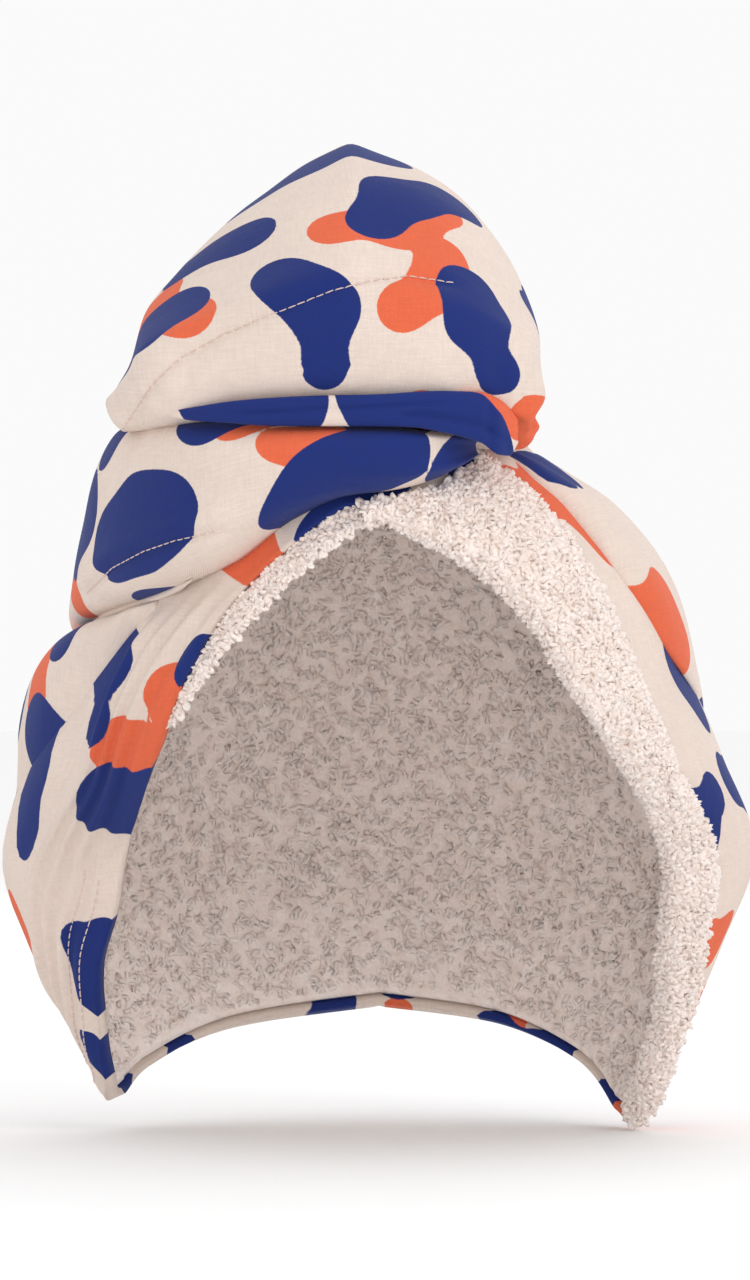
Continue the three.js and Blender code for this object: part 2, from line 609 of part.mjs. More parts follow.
/** A closed geometry as a solid that can be cut and joined. */
function toSolid(geometry) {
  const bare = geometry.index ? geometry.toNonIndexed() : geometry.clone();
  bare.deleteAttribute("normal");
  bare.deleteAttribute("uv");
  const merged = mergeVertices(bare, 1e-3);
  return new wasm.Manifold(
    new wasm.Mesh({
      numProp: 3,
      vertProperties: merged.attributes.position.array,
      triVerts: new Uint32Array(merged.index.array),
    }),
  );
}

/** A solid as a geometry. */
function toGeometry(solid) {
  const { vertProperties, triVerts, numProp } = solid.getMesh();
  const geometry = new THREE.BufferGeometry();
  const positions = [];
  for (let k = 0; k < vertProperties.length; k += numProp)
    positions.push(vertProperties[k], vertProperties[k + 1], vertProperties[k + 2]);
  geometry.setAttribute("position", new THREE.Float32BufferAttribute(positions, 3));
  geometry.setIndex(Array.from(triVerts));
  geometry.computeVertexNormals();
  return geometry;
}

/** The hollow tail, open below where the hair goes up into it. */
function twistedTail() {
  const mouth = SECTIONS[0];
  const [front, back] = [-mouth.front * HOOD_FRONT, mouth.back * HOOD_BACK];
  const plug = new THREE.CylinderGeometry(1, 1, 10, 24);
  plug.rotateX(Math.PI / 2);
  plug.scale(mouth.right * HOOD_HALF_WIDTH, (back - front) / 2, 1);
  plug.translate(0, (front + back) / 2, CROWN + 2);
  const skin = toSolid(tailSkin(0, 22, 20));
  const hollow = toSolid(tailSkin(TAIL_WALL, 18, 16));
  return toGeometry(skin.subtract(hollow).subtract(toSolid(plug)));
}

const napePoint = formPoint(NAPE.turn, NAPE.drop);
const napeNormal = formNormal(NAPE.turn, NAPE.drop);

/** Places a piece that was made along +Z, with +Y up, standing out from the nape at the button. */
function placeAtNape(mesh, lift = 0) {
  const across = new THREE.Vector3(0, 0, 1).cross(napeNormal).normalize();
  const upward = napeNormal.clone().cross(across);
  mesh.quaternion.setFromRotationMatrix(new THREE.Matrix4().makeBasis(across, upward, napeNormal));
  mesh.position.copy(napePoint).addScaledVector(napeNormal, LAYER_GAP + lift);
  return mesh;
}

/** A round button with a raised rim, on a short shank. */
function buttonGeometry() {
  const RIM = 1.4;
  const DISH = 1;
  const top = SHANK_LENGTH + BUTTON_THICK;
  const profile = [
    [0, 0],
    [SHANK_RADIUS, 0],
    [SHANK_RADIUS, SHANK_LENGTH],
    [BUTTON_RADIUS - RIM / 2, SHANK_LENGTH],
    [BUTTON_RADIUS, SHANK_LENGTH + BUTTON_THICK / 2],
    [BUTTON_RADIUS - RIM / 2, top],
    [BUTTON_RADIUS - 1.5 * RIM, top],
    [BUTTON_RADIUS - 2 * RIM, top - DISH],
    [0, top - DISH],
  ].map(([r, z]) => new THREE.Vector2(r, z));
  const geometry = new THREE.LatheGeometry(profile, 20);
  geometry.rotateX(Math.PI / 2);
  return geometry;
}

/** The elastic loop: from the tail's tip down round the shank and back, open at the tip. */
function loopGeometry() {
  const turn = SHANK_RADIUS + LAYER_GAP + LOOP_THICK / 2;
  const path = new THREE.CurvePath();
  const [left, right] = [new THREE.Vector3(-turn, LOOP_REACH, 0), new THREE.Vector3(turn, LOOP_REACH, 0)];
  const points = [left, new THREE.Vector3(-turn, LOOP_REACH / 2, 0)];
  for (let k = 0; k <= 8; k += 1) {
    const angle = Math.PI * (1 + k / 8);
    points.push(new THREE.Vector3(turn * Math.cos(angle), turn * Math.sin(angle), 0));
  }
  points.push(new THREE.Vector3(turn, LOOP_REACH / 2, 0), right);
  path.add(new THREE.CatmullRomCurve3(points));
  const section = new THREE.Shape().absarc(0, 0, LOOP_THICK / 2, 0, 2 * Math.PI, false);
  return new THREE.ExtrudeGeometry(section, {
    steps: 20,
    extrudePath: path.curves[0],
    bevelEnabled: false,
    curveSegments: 4,
  });
}

const printedCloth = new THREE.MeshStandardMaterial({ color: 0xe7d8cd, roughness: 0.85, metalness: 0 });
const printedBlue = new THREE.MeshStandardMaterial({ color: 0x22347f, roughness: 0.85, metalness: 0 });
const terry = new THREE.MeshStandardMaterial({ color: 0xead3c6, roughness: 1, metalness: 0 });
const elastic = new THREE.MeshStandardMaterial({ color: 0xe4d6cb, roughness: 0.8, metalness: 0 });
const resin = new THREE.MeshStandardMaterial({ color: 0xf0e6dc, roughness: 0.35, metalness: 0 });

const turban = new THREE.Group();

/** Adds a named piece to the turban. */
function addPiece(name, geometry, material) {
  const mesh = new THREE.Mesh(geometry, material);
  mesh.name = name;
  turban.add(mesh);
  return mesh;
}

addPiece(
  "hood",
  hoodWall({
    outerLift: 0,
    innerLift: -PRINT_WALL,
    pleated: true,
    starts: (hem) => hem.peek * LINING_PEEK,
    hemRows: HEM_ROWS,
    perRow: 2,
    steps: 9,
  }),
  printedCloth,
);
addPiece(
  "terry_lining",
  hoodWall({
    outerLift: -PRINT_WALL - LAYER_GAP,
    innerLift: -PRINT_WALL - LAYER_GAP - LINING_WALL,
    pleated: false,
    starts: () => 0,
    hemRows: [HEM_ROWS[0], HEM_ROWS[3], HEM_ROWS[5]],
    perRow: 2,
    steps: 9,
  }),
  terry,
);
addPiece("terry_cuff", terryCuff(), terry);
addPiece("shoulder_fold", hoodFold(SHOULDER_FOLD, SHOULDER_RISE, 0.75, 8), printedCloth);
addPiece("side_fold", hoodFold(SIDE_FOLD, SIDE_RISE, 1.8, 8), printedBlue);
addPiece("front_wrap", frontWrap(), printedBlue);
addPiece("twist_tuck", twistTuck(), printedBlue);
addPiece("twisted_tail", twistedTail(), printedCloth);
placeAtNape(addPiece("button", buttonGeometry(), resin));
placeAtNape(addPiece("elastic_loop", loopGeometry(), elastic), LOOP_THICK / 2 + LAYER_GAP);

export default turban;
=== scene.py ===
"""Looks of a hair turban towel in its worn form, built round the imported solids.

Metres, +Z up, the face opening towards -Y, the wearer's left at +X.
The surfaces follow the same sections as the solids, with finer points, folds, stitches and pile.
"""

import logging
import math
from dataclasses import dataclass, field
from enum import Enum

import bmesh
import bpy
import numpy as np
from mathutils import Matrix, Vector
from mathutils.bvhtree import BVHTree

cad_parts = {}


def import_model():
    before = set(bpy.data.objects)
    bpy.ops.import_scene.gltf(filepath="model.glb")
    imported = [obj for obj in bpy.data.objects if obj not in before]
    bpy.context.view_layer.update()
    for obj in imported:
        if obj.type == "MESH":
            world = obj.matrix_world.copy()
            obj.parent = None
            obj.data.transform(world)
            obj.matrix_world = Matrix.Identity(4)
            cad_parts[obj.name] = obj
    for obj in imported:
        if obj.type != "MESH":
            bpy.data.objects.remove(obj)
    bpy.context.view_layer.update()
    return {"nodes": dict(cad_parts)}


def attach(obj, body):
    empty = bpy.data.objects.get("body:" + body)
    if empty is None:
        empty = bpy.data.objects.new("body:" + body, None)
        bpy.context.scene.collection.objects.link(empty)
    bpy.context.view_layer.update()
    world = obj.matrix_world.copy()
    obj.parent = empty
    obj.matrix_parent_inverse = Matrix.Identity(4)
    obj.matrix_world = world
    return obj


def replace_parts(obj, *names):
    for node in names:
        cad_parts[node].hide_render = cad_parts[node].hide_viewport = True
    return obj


LOG = logging.getLogger("turban")
MM = 0.001
DEGREE = math.pi / 180
BODY = "root"
Array = np.ndarray


class Slot(Enum):
    """The record's material slots."""

    PRINT = "printed_cloth"
    TERRY = "terry"
    ELASTIC = "elastic"
    BUTTON = "button"


class Held(Enum):
    """How a sheet of cloth is held."""

    STRETCHED = "stretched"
    FOLDED = "folded"
    GATHERED = "gathered"


class Profile:
    """A table of named columns, each on a smooth curve that doesn't overshoot its rows."""

    def __init__(self, names: str, rows: tuple[tuple[float, ...], ...]) -> None:
        """Keeps the rows and the slope of every column at each of them.

        Args:
            names: The columns' names, the key's first.
            rows: The table, its key rising.
        """
        table = np.array(rows, float)
        self.key = table[:, 0]
        self.names = names.split()[1:]
        self.values = table[:, 1:]
        slope = np.diff(self.values, axis=0) / np.diff(self.key)[:, None]
        before, after = slope[:-1], slope[1:]
        total = np.where(before + after == 0, 1, before + after)
        inner = np.where(before * after <= 0, 0, 2 * before * after / total)
        self.slopes = np.vstack([slope[:1], inner, slope[-1:]])

    def at(self, key: Array | float) -> dict[str, Array]:
        """Reads every column between the rows.

        Args:
            key: Where to read, any shape.

        Returns:
            Each column's values by name, in the shape of key.
        """
        where = np.clip(np.asarray(key, float), self.key[0], self.key[-1])
        i = np.clip(np.searchsorted(self.key, where, side="right") - 1, 0, len(self.key) - 2)
        span = self.key[i + 1] - self.key[i]
        t = (where - self.key[i]) / span
        found = {}
        for k, name in enumerate(self.names):
            start, end = self.values[i, k], self.values[i + 1, k]
            leave, arrive = self.slopes[i, k] * span, self.slopes[i + 1, k] * span
            cubic = 2 * (start - end) + leave + arrive
            square = 3 * (end - start) - 2 * leave - arrive
            found[name] = start + t * (leave + t * (square + t * cubic))
        return found


SECTIONS = Profile(
    "drop right left front back middle",
    (
        (0, 0.254, 0.254, 0.693, -0.124, -0.372),
        (0.0153, 0.33, 0.336, 0.752, 0.106, -0.292),
        (0.049, 0.39, 0.427, 0.822, 0.46, -0.142),
        (0.087, 0.48, 0.509, 0.881, 0.637, -0.071),
        (0.135, 0.596, 0.6, 0.941, 0.761, 0),
        (0.235, 0.727, 0.695, 1, 0.894, 0.044),
        (0.346, 0.8, 0.795, 0.98, 0.973, 0.088),
        (0.46, 0.897, 0.905, 0.743, 1, 0.142),
        (0.613, 0.997, 1, 0.218, 0.965, 0.212),
        (0.738, 0.912, 0.93, 0.119, 0.894, 0.265),
        (0.857, 0.82, 0.83, 0, 0.823, 0.319),
        (1, 0.69, 0.69, -0.198, 0.743, 0.389),
    ),
)
HEM = Profile(
    "crown turn drop peek",
    (
        (-180, -180, 0.84, 0),
        (-158, -152, 0.868, 0),
        (-138, -122, 0.925, 0),
        (-122, -97, 0.962, 0),
        (-110, -79, 0.945, 0),
        (-101, -66, 0.875, 0),
        (-93, -55.3, 0.77, 0),
        (-85, -44.5, 0.665, 0),
        (-76, -40.3, 0.556, 0),
        (-66, -38.7, 0.455, 0.05),
        (-55, -35, 0.362, 0.5),
        (-42, -27.5, 0.28, 0.95),
        (-28, -17.5, 0.212, 1),
        (-13, -8, 0.163, 0.9),
        (0, 0, 0.138, 0.2),
        (14, 10, 0.158, 0),
        (29, 22.6, 0.205, 0),
        (44, 33.2, 0.283, 0),
        (57, 40.2, 0.382, 0),
        (69, 47, 0.5, 0),
        (80, 51.8, 0.62, 0),
        (90, 57.6, 0.735, 0),
        (99, 66.8, 0.84, 0),
        (108, 75, 0.945, 0),
        (118, 86, 0.998, 0),
        (132, 107, 0.985, 0),
        (148, 134, 0.915, 0),
        (164, 159, 0.86, 0),
        (180, 180, 0.84, 0),
    ),
)
CREASE = Profile(
    "across wrap tail",
    (
        (-0.86, 0.08, 0.073),
        (-0.73, 0.048, 0.041),
        (-0.66, 0.021, 0.014),
        (-0.5, 0.016, 0.008),
        (-0.36, 0.02, -0.007),
        (-0.18, 0.028, -0.011),
        (0, 0.029, -0.009),
        (0.14, 0.034, -0.01),
        (0.26, 0.047, -0.009),
        (0.34, 0.062, 0.01),
        (0.4, 0.07, 0.045),
        (0.5, 0.078, 0.07),
    ),
)
FRONT_WRAP = Profile(
    "turn low inset rise",
    (
        (-158, 0.41, 0.05, 0.07),
        (-143, 0.395, 0.4, 0.24),
        (-125, 0.36, 0.7, 0.4),
        (-105, 0.322, 0.9, 0.5),
        (-90, 0.297, 0.9, 0.58),
        (-75, 0.28, 0.62, 0.6),
        (-60, 0.262, 0.2, 0.7),
        (-46, 0.24, -0.05, 0.8),
        (-32, 0.206, -0.2, 0.85),
        (-20, 0.15, -0.25, 0.85),
        (-8, 0.12, -0.3, 0.75),
        (4, 0.112, -0.3, 0.65),
        (15, 0.096, -0.2, 0.6),
        (26, 0.07, -0.1, 0.45),
    ),
)
SIDE_FOLD = Profile(
    "turn low high rise",
    (
        (-162, 0.545, 0.44, 0.06),
        (-142, 0.58, 0.408, 0.32),
        (-115, 0.575, 0.352, 0.75),
        (-90, 0.53, 0.306, 1),
        (-76, 0.48, 0.289, 0.95),
        (-66, 0.395, 0.277, 0.7),
        (-57, 0.305, 0.266, 0.35),
        (-51, 0.27, 0.257, 0.12),
    ),
)
SHOULDER_FOLD = Profile(
    "turn low high rise",
    (
        (50.5, 0.098, 0.062, 0.35),
        (54, 0.155, 0.058, 0.8),
        (60, 0.235, 0.055, 0.9),
        (72, 0.332, 0.055, 0.95),
        (90, 0.4, 0.055, 1),
        (115, 0.465, 0.09, 0.85),
        (138, 0.49, 0.19, 0.5),
        (157, 0.47, 0.34, 0.12),
    ),
)
CUFF = Profile(
    "crown width rise",
    (
        (-6, 0.25, 0.75),
        (8, 0.6, 0.9),
        (22, 1.05, 1),
        (38, 1.2, 1),
        (55, 0.78, 1),
        (70, 0.55, 1),
        (84, 0.5, 0.95),
        (96, 0.42, 0.9),
        (106, 0.32, 0.85),
        (114, 0.2, 0.7),
    ),
)
TUCK = Profile(
    "x low high front thick",
    (
        (-60, 1.6, 2.6, -92, 1.6),
        (-57, 1.0, 3.0, -96.5, 2.6),
        (-51, 0.0, 3.8, -101, 3),
        (-41, -0.8, 5.2, -106.5, 3.4),
        (-31, -1.6, 6.0, -109, 3.6),
        (-18, -1.8, 6.6, -111, 3.8),
        (0, -1.9, 7.0, -112, 4),
        (9, -2.1, 7.6, -111.5, 4.4),
        (17, -3.4, 8.0, -110, 5),
        (28, -6.2, 7.8, -106.5, 6),
        (33, -9.4, 6.0, -103.5, 7),
        (36, -9.6, 3.6, -100.5, 6.5),
        (38.4, -6, 0.5, -97, 4),
    ),
)
TAIL = Profile(
    "along rise left right shift round furrow",
    (
        (0, 0.33, 0.95, 0.95, -0.15, 0, 0),
        (0.032, 0.53, 0.99, 0.99, -0.15, 0, 0),
        (0.086, 0.77, 1, 1, -0.15, 0, 0),
        (0.16, 0.97, 1, 1, -0.15, 0, 0),
        (0.241, 1, 0.97, 0.97, -0.15, 0, 0.1),
        (0.332, 0.88, 0.86, 0.88, -0.13, 0.2, 0.3),
        (0.428, 0.7, 0.68, 0.76, -0.1, 0.6, 0.7),
        (0.535, 0.54, 0.54, 0.62, -0.06, 0.9, 1),
        (0.652, 0.43, 0.43, 0.54, -0.03, 1, 1),
        (0.781, 0.36, 0.36, 0.45, 0, 1, 1),
        (0.914, 0.26, 0.27, 0.34, 0, 1, 0.9),
        (1, 0.13, 0.14, 0.18, 0, 1, 0.4),
    ),
)
TAIL_OUTLINE = Profile(
    "up left right",
    (
        (0, 0.985, 0.965),
        (0.1, 0.91, 0.985),
        (0.2, 0.875, 1),
        (0.37, 0.845, 0.965),
        (0.54, 0.725, 0.87),
        (0.72, 0.5, 0.69),
        (0.815, 0.355, 0.56),
        (0.905, 0.215, 0.37),
        (1, 0, 0),
    ),
)


def lerp(a: Array | float, b: Array | float, t: Array | float) -> Array:
    """The value a share t of the way from a to b."""
    return a + (np.asarray(b) - a) * t


def ramp(value: Array | float) -> Array:
    """A smooth step from 0 at 0 to 1 at 1."""
    t = np.clip(value, 0, 1)
    return t * t * (3 - 2 * t)


def bump(away: Array, width: float) -> Array:
    """A rounded bump of height 1, as wide as width to each side."""
    return np.exp(-((away / width) ** 2))


def unit(vectors: Array) -> Array:
    """The vectors at length 1."""
    return vectors / np.maximum(np.linalg.norm(vectors, axis=-1, keepdims=True), 1e-12)


@dataclass(frozen=True)
class Ripples:
    """A smooth field of soft waves over a plane, the same on every run."""

    seed: int
    length: float = 30 * MM
    stretch: float = 1.0
    waves: int = 14

    def at(self, u: Array, v: Array) -> Array:
        """The field at places u, v in metres.

        Args:
            u: Places along the waves' longer side.
            v: Places across it.

        Returns:
            Values mostly between -1 and 1.
        """
        draw = np.random.default_rng(self.seed)
        total = np.zeros(np.broadcast(u, v).shape)
        for _ in range(self.waves):
            way, phase = draw.uniform(0, 2 * math.pi, 2)
            rate = 2 * math.pi / (self.length * draw.uniform(0.6, 1.6))
            total += np.cos(rate * (np.cos(way) * u / self.stretch + np.sin(way) * v) + phase)
        return total / math.sqrt(self.waves)


@dataclass(frozen=True)
class HoodForm:
    """The hood's smooth outside, read by a turn in degrees from the front and a drop from 0 to 1."""

    half_width: float = 110 * MM
    front: float = 101 * MM
    back: float = 113 * MM
    length: float = 209 * MM
    crown: float = 4.2 * MM
    spread: float = 2.4
    climb: float = 1.3

    def height(self, drop: Array | float) -> Array:
        """The height of a drop."""
        return self.crown - np.asarray(drop) * self.length

    def point(self, turn: Array, drop: Array) -> Array:
        """Points of the outside.

        Args:
            turn: Degrees from the front, the wearer's left positive.
            drop: Shares of the hood's length.

        Returns:
            Points, with the coordinates in the last place.
        """
        turn, drop = np.broadcast_arrays(np.asarray(turn, float), np.asarray(drop, float))
        row = SECTIONS.at(drop)
        across, along = np.sin(turn * DEGREE), np.cos(turn * DEGREE)
        half = np.where(across > 0, row["right"], row["left"]) * self.half_width
        middle = row["middle"] * self.back
        ahead = -row["front"] * self.front - middle
        behind = middle - row["back"] * self.back
        reach = np.where(along > 0, ahead, behind)
        return np.stack([across * half, middle + along * reach, self.height(drop)], -1)

    def normal(self, turn: Array, drop: Array) -> Array:
        """Outward directions of the outside.

        Args:
            turn: Degrees from the front.
            drop: Shares of the hood's length.

        Returns:
            Directions at length 1.
        """
        angle, step = 0.5, 0.004
        upper = np.maximum(np.asarray(drop, float) - step, 0)
        around = self.point(turn + angle, drop) - self.point(turn - angle, drop)
        down = self.point(turn, upper + 2 * step) - self.point(turn, upper)
        return unit(np.cross(down, around))

    def off(self, turn: Array, drop: Array, lift: Array | float) -> Array:
        """Points that stand off the outside by lift."""
        return self.point(turn, drop) + self.normal(turn, drop) * np.asarray(lift)[..., None]

    def column(self, crown: Array, share: Array) -> tuple[Array, Array]:
        """Turn and drop of a column of cloth.

        Args:
            crown: The direction at the tail's mouth that the column runs to, in degrees.
            share: Shares of the way from the hem to the mouth, below 0 past the hem.

        Returns:
            Turns and drops.
        """
        hem = HEM.at(crown)
        swing = 1 - (1 - share) ** self.spread
        climb = np.sign(share) * np.abs(np.sin(share * math.pi / 2)) ** self.climb
        return lerp(hem["turn"], crown, swing), hem["drop"] * (1 - climb)

    def shares(self, crown: Array, lengths: Array) -> Array:
        """The shares of columns that lie lengths in metres above the hem.

        Args:
            crown: Directions of the columns, one per row.
            lengths: Lengths above the hem, a row for each column.

        Returns:
            Shares in the shape of lengths.
        """
        steps = np.linspace(-0.12, 1, 281)
        turn, drop = self.column(np.asarray(crown)[:, None], steps[None, :])
        legs = np.linalg.norm(np.diff(self.point(turn, drop), axis=1), axis=-1)
        gone = np.concatenate([np.zeros((len(legs), 1)), np.cumsum(legs, axis=1)], axis=1)
        found = []
        for row, wanted in zip(gone, lengths):
            found.append(np.interp(wanted, row - np.interp(0, steps, row), steps))
        return np.array(found)


FORM = HoodForm()


@dataclass(frozen=True)
class Sight:
    """The camera's place, and sightings of the object on the plane through the ears."""

    across: float = -1.16 * MM
    height: float = -60.4 * MM
    distance: float = 2.0
    tall: float = 371.2 * MM
    sensor: float = 36.0

    @property
    def eye(self) -> Vector:
        """The camera's place."""
        return Vector((self.across, -self.distance, self.height))

    def project(self, points: Array) -> Array:
        """Where points are sighted on the plane Y = 0.

        Args:
            points: Places in space.

        Returns:
            X and Z on the plane.
        """
        scale = self.distance / (self.distance + points[..., 1])
        x = self.across + (points[..., 0] - self.across) * scale
        z = self.height + (points[..., 2] - self.height) * scale
        return np.stack([x, z], -1)

    def camera(self) -> None:
        """Makes the camera and looks along +Y with it."""
        data = bpy.data.cameras.new("camera")
        data.sensor_width = self.sensor
        data.lens = self.sensor * self.distance / self.tall
        data.clip_start, data.clip_end = 0.1, 20
        camera = bpy.data.objects.new("camera", data)
        camera.location = self.eye
        camera.rotation_euler = (math.pi / 2, 0, 0)
        bpy.context.scene.collection.objects.link(camera)
        bpy.context.scene.camera = camera


SIGHT = Sight()


def along_line(points: Array, line: tuple[tuple[float, float], ...]) -> tuple[Array, Array]:
    """Distances of points in a plane from a line of stations, positive above it.

    Args:
        points: Places in the plane, the last axis X and Z.
        line: Stations of the line in millimetres, X rising.

    Returns:
        Signed heights above the line, and shares of the way along it, outside 0 to 1 past its ends.
    """
    stations = np.array(line) * MM
    share = (points[..., 0] - stations[0, 0]) / (stations[-1, 0] - stations[0, 0])
    level = np.interp(points[..., 0], stations[:, 0], stations[:, 1])
    rise = np.gradient(stations[:, 1], stations[:, 0])
    slope = np.interp(points[..., 0], stations[:, 0], rise)
    return (points[..., 1] - level) / np.sqrt(1 + slope**2), share


def pinch(points: Array, centre: tuple[float, float], reach: float, folds: float) -> Array:
    """Small folds that fan out from a place where the cloth is pinched.

    Args:
        points: Places in the plane of sight.
        centre: The pinch in millimetres, X and Z.
        reach: How far the folds run, in metres.
        folds: Folds in a full turn.

    Returns:
        Heights from -1 to 1.
    """
    away = points - np.array(centre) * MM
    far = np.linalg.norm(away, axis=-1)
    way = np.arctan2(away[..., 1], away[..., 0])
    return np.cos(folds * way + far / (6 * MM)) * ramp(far / (5 * MM)) * np.exp(-((far / reach) ** 2))


@dataclass(frozen=True)
class PebblePrint:
    """A generic print of loose pebbles on cloth, kept as signed distances from their edges."""

    seed: int = 21
    grow: float = 0.0
    pitch: float = 54 * MM
    rows: int = 14
    more: int = 6
    blend: float = 9 * MM

    def pebble(self, places: Array, draw: np.random.Generator, stout: float) -> Array:
        """The distance from a smooth pebble of three lobes in a gently bent row.

        Args:
            places: Places on the cloth from the pebble's middle.
            draw: Where its shape is drawn from.
            stout: The radius of its middle lobe.

        Returns:
            Distances, negative inside.
        """
        way, bend = draw.uniform(0, 2 * math.pi), draw.uniform(-1.1, 1.1)
        pebble = np.linalg.norm(places, axis=-1) - stout
        for turned in (way, way + math.pi + bend):
            slim, apart = stout * draw.uniform(0.55, 0.95), stout * draw.uniform(1.25, 1.75)
            lobe = places - np.array([math.cos(turned), math.sin(turned)]) * apart
            lobe = np.linalg.norm(lobe, axis=-1) - slim
            mix = np.clip(0.5 + 0.5 * (lobe - pebble) / self.blend, 0, 1)
            pebble = lerp(lobe, pebble, mix) - self.blend * mix * (1 - mix)
        return pebble

    def distances(self, flat: Array) -> Array:
        """How far places on the flat cloth lie outside the navy and the coral pebbles.

        Args:
            flat: Places on the cloth in metres, the last axis u and v.

        Returns:
            Two distances in the last axis, negative inside.
        """
        draw = np.random.default_rng(self.seed)
        marks = np.full((2, *flat.shape[:-1]), 1.0)
        half = self.rows // 2
        for row in range(-half, half + self.more * (half > 0)):
            for column in range(-half, half):
                centre = np.array([column + 0.5 * (row % 2), row * 0.84]) * self.pitch
                centre = centre + draw.uniform(-0.12, 0.12, 2) * self.pitch
                kind, aside = draw.uniform(size=2)
                stout = draw.uniform(9.5, 12.5) * MM
                inks = [0, 1] if kind < 0.34 else [0] if kind < 0.86 else [1]
                near = np.abs(flat - centre).max(-1) < 1.4 * self.pitch
                for ink in inks:
                    shape = np.random.default_rng(int(draw.integers(1 << 30)))
                    shift = ink * len(inks) - ink
                    side = np.array([math.cos(aside * 6.28), math.sin(aside * 6.28)]) * 15 * MM * shift
                    found = self.pebble(flat[near] - centre - side, shape, stout) - self.grow * (1 - ink)
                    marks[ink][near] = np.minimum(marks[ink][near], found)
        return np.stack([marks[0], marks[1]], -1)


class Shader:
    """A material's nodes, added one by one."""

    def __init__(self, name: str) -> None:
        """Makes a material with a bare surface shader.

        Args:
            name: The material's name.
        """
        self.material = bpy.data.materials.new(name)
        self.material.use_nodes = True
        self.tree = self.material.node_tree
        self.surface = self.tree.nodes["Principled BSDF"]

    def node(self, kind: str, inputs: dict | None = None, **settings: object) -> bpy.types.Node:
        """Adds a node.

        Args:
            kind: The node's type, without its prefix.
            inputs: Values or sockets by input name or number.
            **settings: Properties of the node.

        Returns:
            The node.
        """
        made = self.tree.nodes.new("ShaderNode" + kind)
        for name, value in settings.items():
            setattr(made, name, value)
        for name, value in (inputs or {}).items():
            self.plug(made.inputs[name], value)
        return made

    def plug(self, socket: bpy.types.NodeSocket, value: object) -> None:
        """Links or sets one input.

        Args:
            socket: The input.
            value: A socket to link, or a value to set.
        """
        if isinstance(value, bpy.types.NodeSocket):
            self.tree.links.new(value, socket)
        else:
            socket.default_value = value

    def math(self, operation: str, a: object, b: object = 0.0) -> bpy.types.NodeSocket:
        """The result of a sum, product or other operation on two values."""
        return self.node("Math", {0: a, 1: b}, operation=operation).outputs[0]

    def mix(self, share: object, a: object, b: object) -> bpy.types.NodeSocket:
        """A colour a share of the way from one to another.

        Args:
            share: The share.
            a: The colour at 0.
            b: The colour at 1.

        Returns:
            The colour's socket.
        """
        factor, first, second, result = 0, 6, 7, 2
        inputs = {factor: share, first: a, second: b}
        return self.node("Mix", inputs, data_type="RGBA").outputs[result]

    def noise(self, vector: object, scale: float, detail: float = 2.0) -> bpy.types.NodeSocket:
        """A field of soft noise from 0 to 1."""
        inputs = {"Vector": vector, "Scale": scale, "Detail": detail}
        return self.node("TexNoise", inputs).outputs["Fac"]

    def relief(self, height: object, distance: float, before: object = None) -> bpy.types.NodeSocket:
        """A bumped normal.

        Args:
            height: Heights from 0 to 1.
            distance: What 1 stands for, in metres.
            before: A normal that is already bumped.

        Returns:
            The normal's socket.
        """
        inputs = {"Height": height, "Distance": distance, "Strength": 1.0}
        if before is not None:
            inputs["Normal"] = before
        return self.node("Bump", inputs).outputs[0]


def linear(code: str) -> tuple[float, float, float, float]:
    """A colour code such as e6d8ce as a linear colour."""
    parts = [int(code[k : k + 2], 16) / 255 for k in (0, 2, 4)]
    return (*[p / 12.92 if p < 0.04045 else ((p + 0.055) / 1.055) ** 2.4 for p in parts], 1.0)


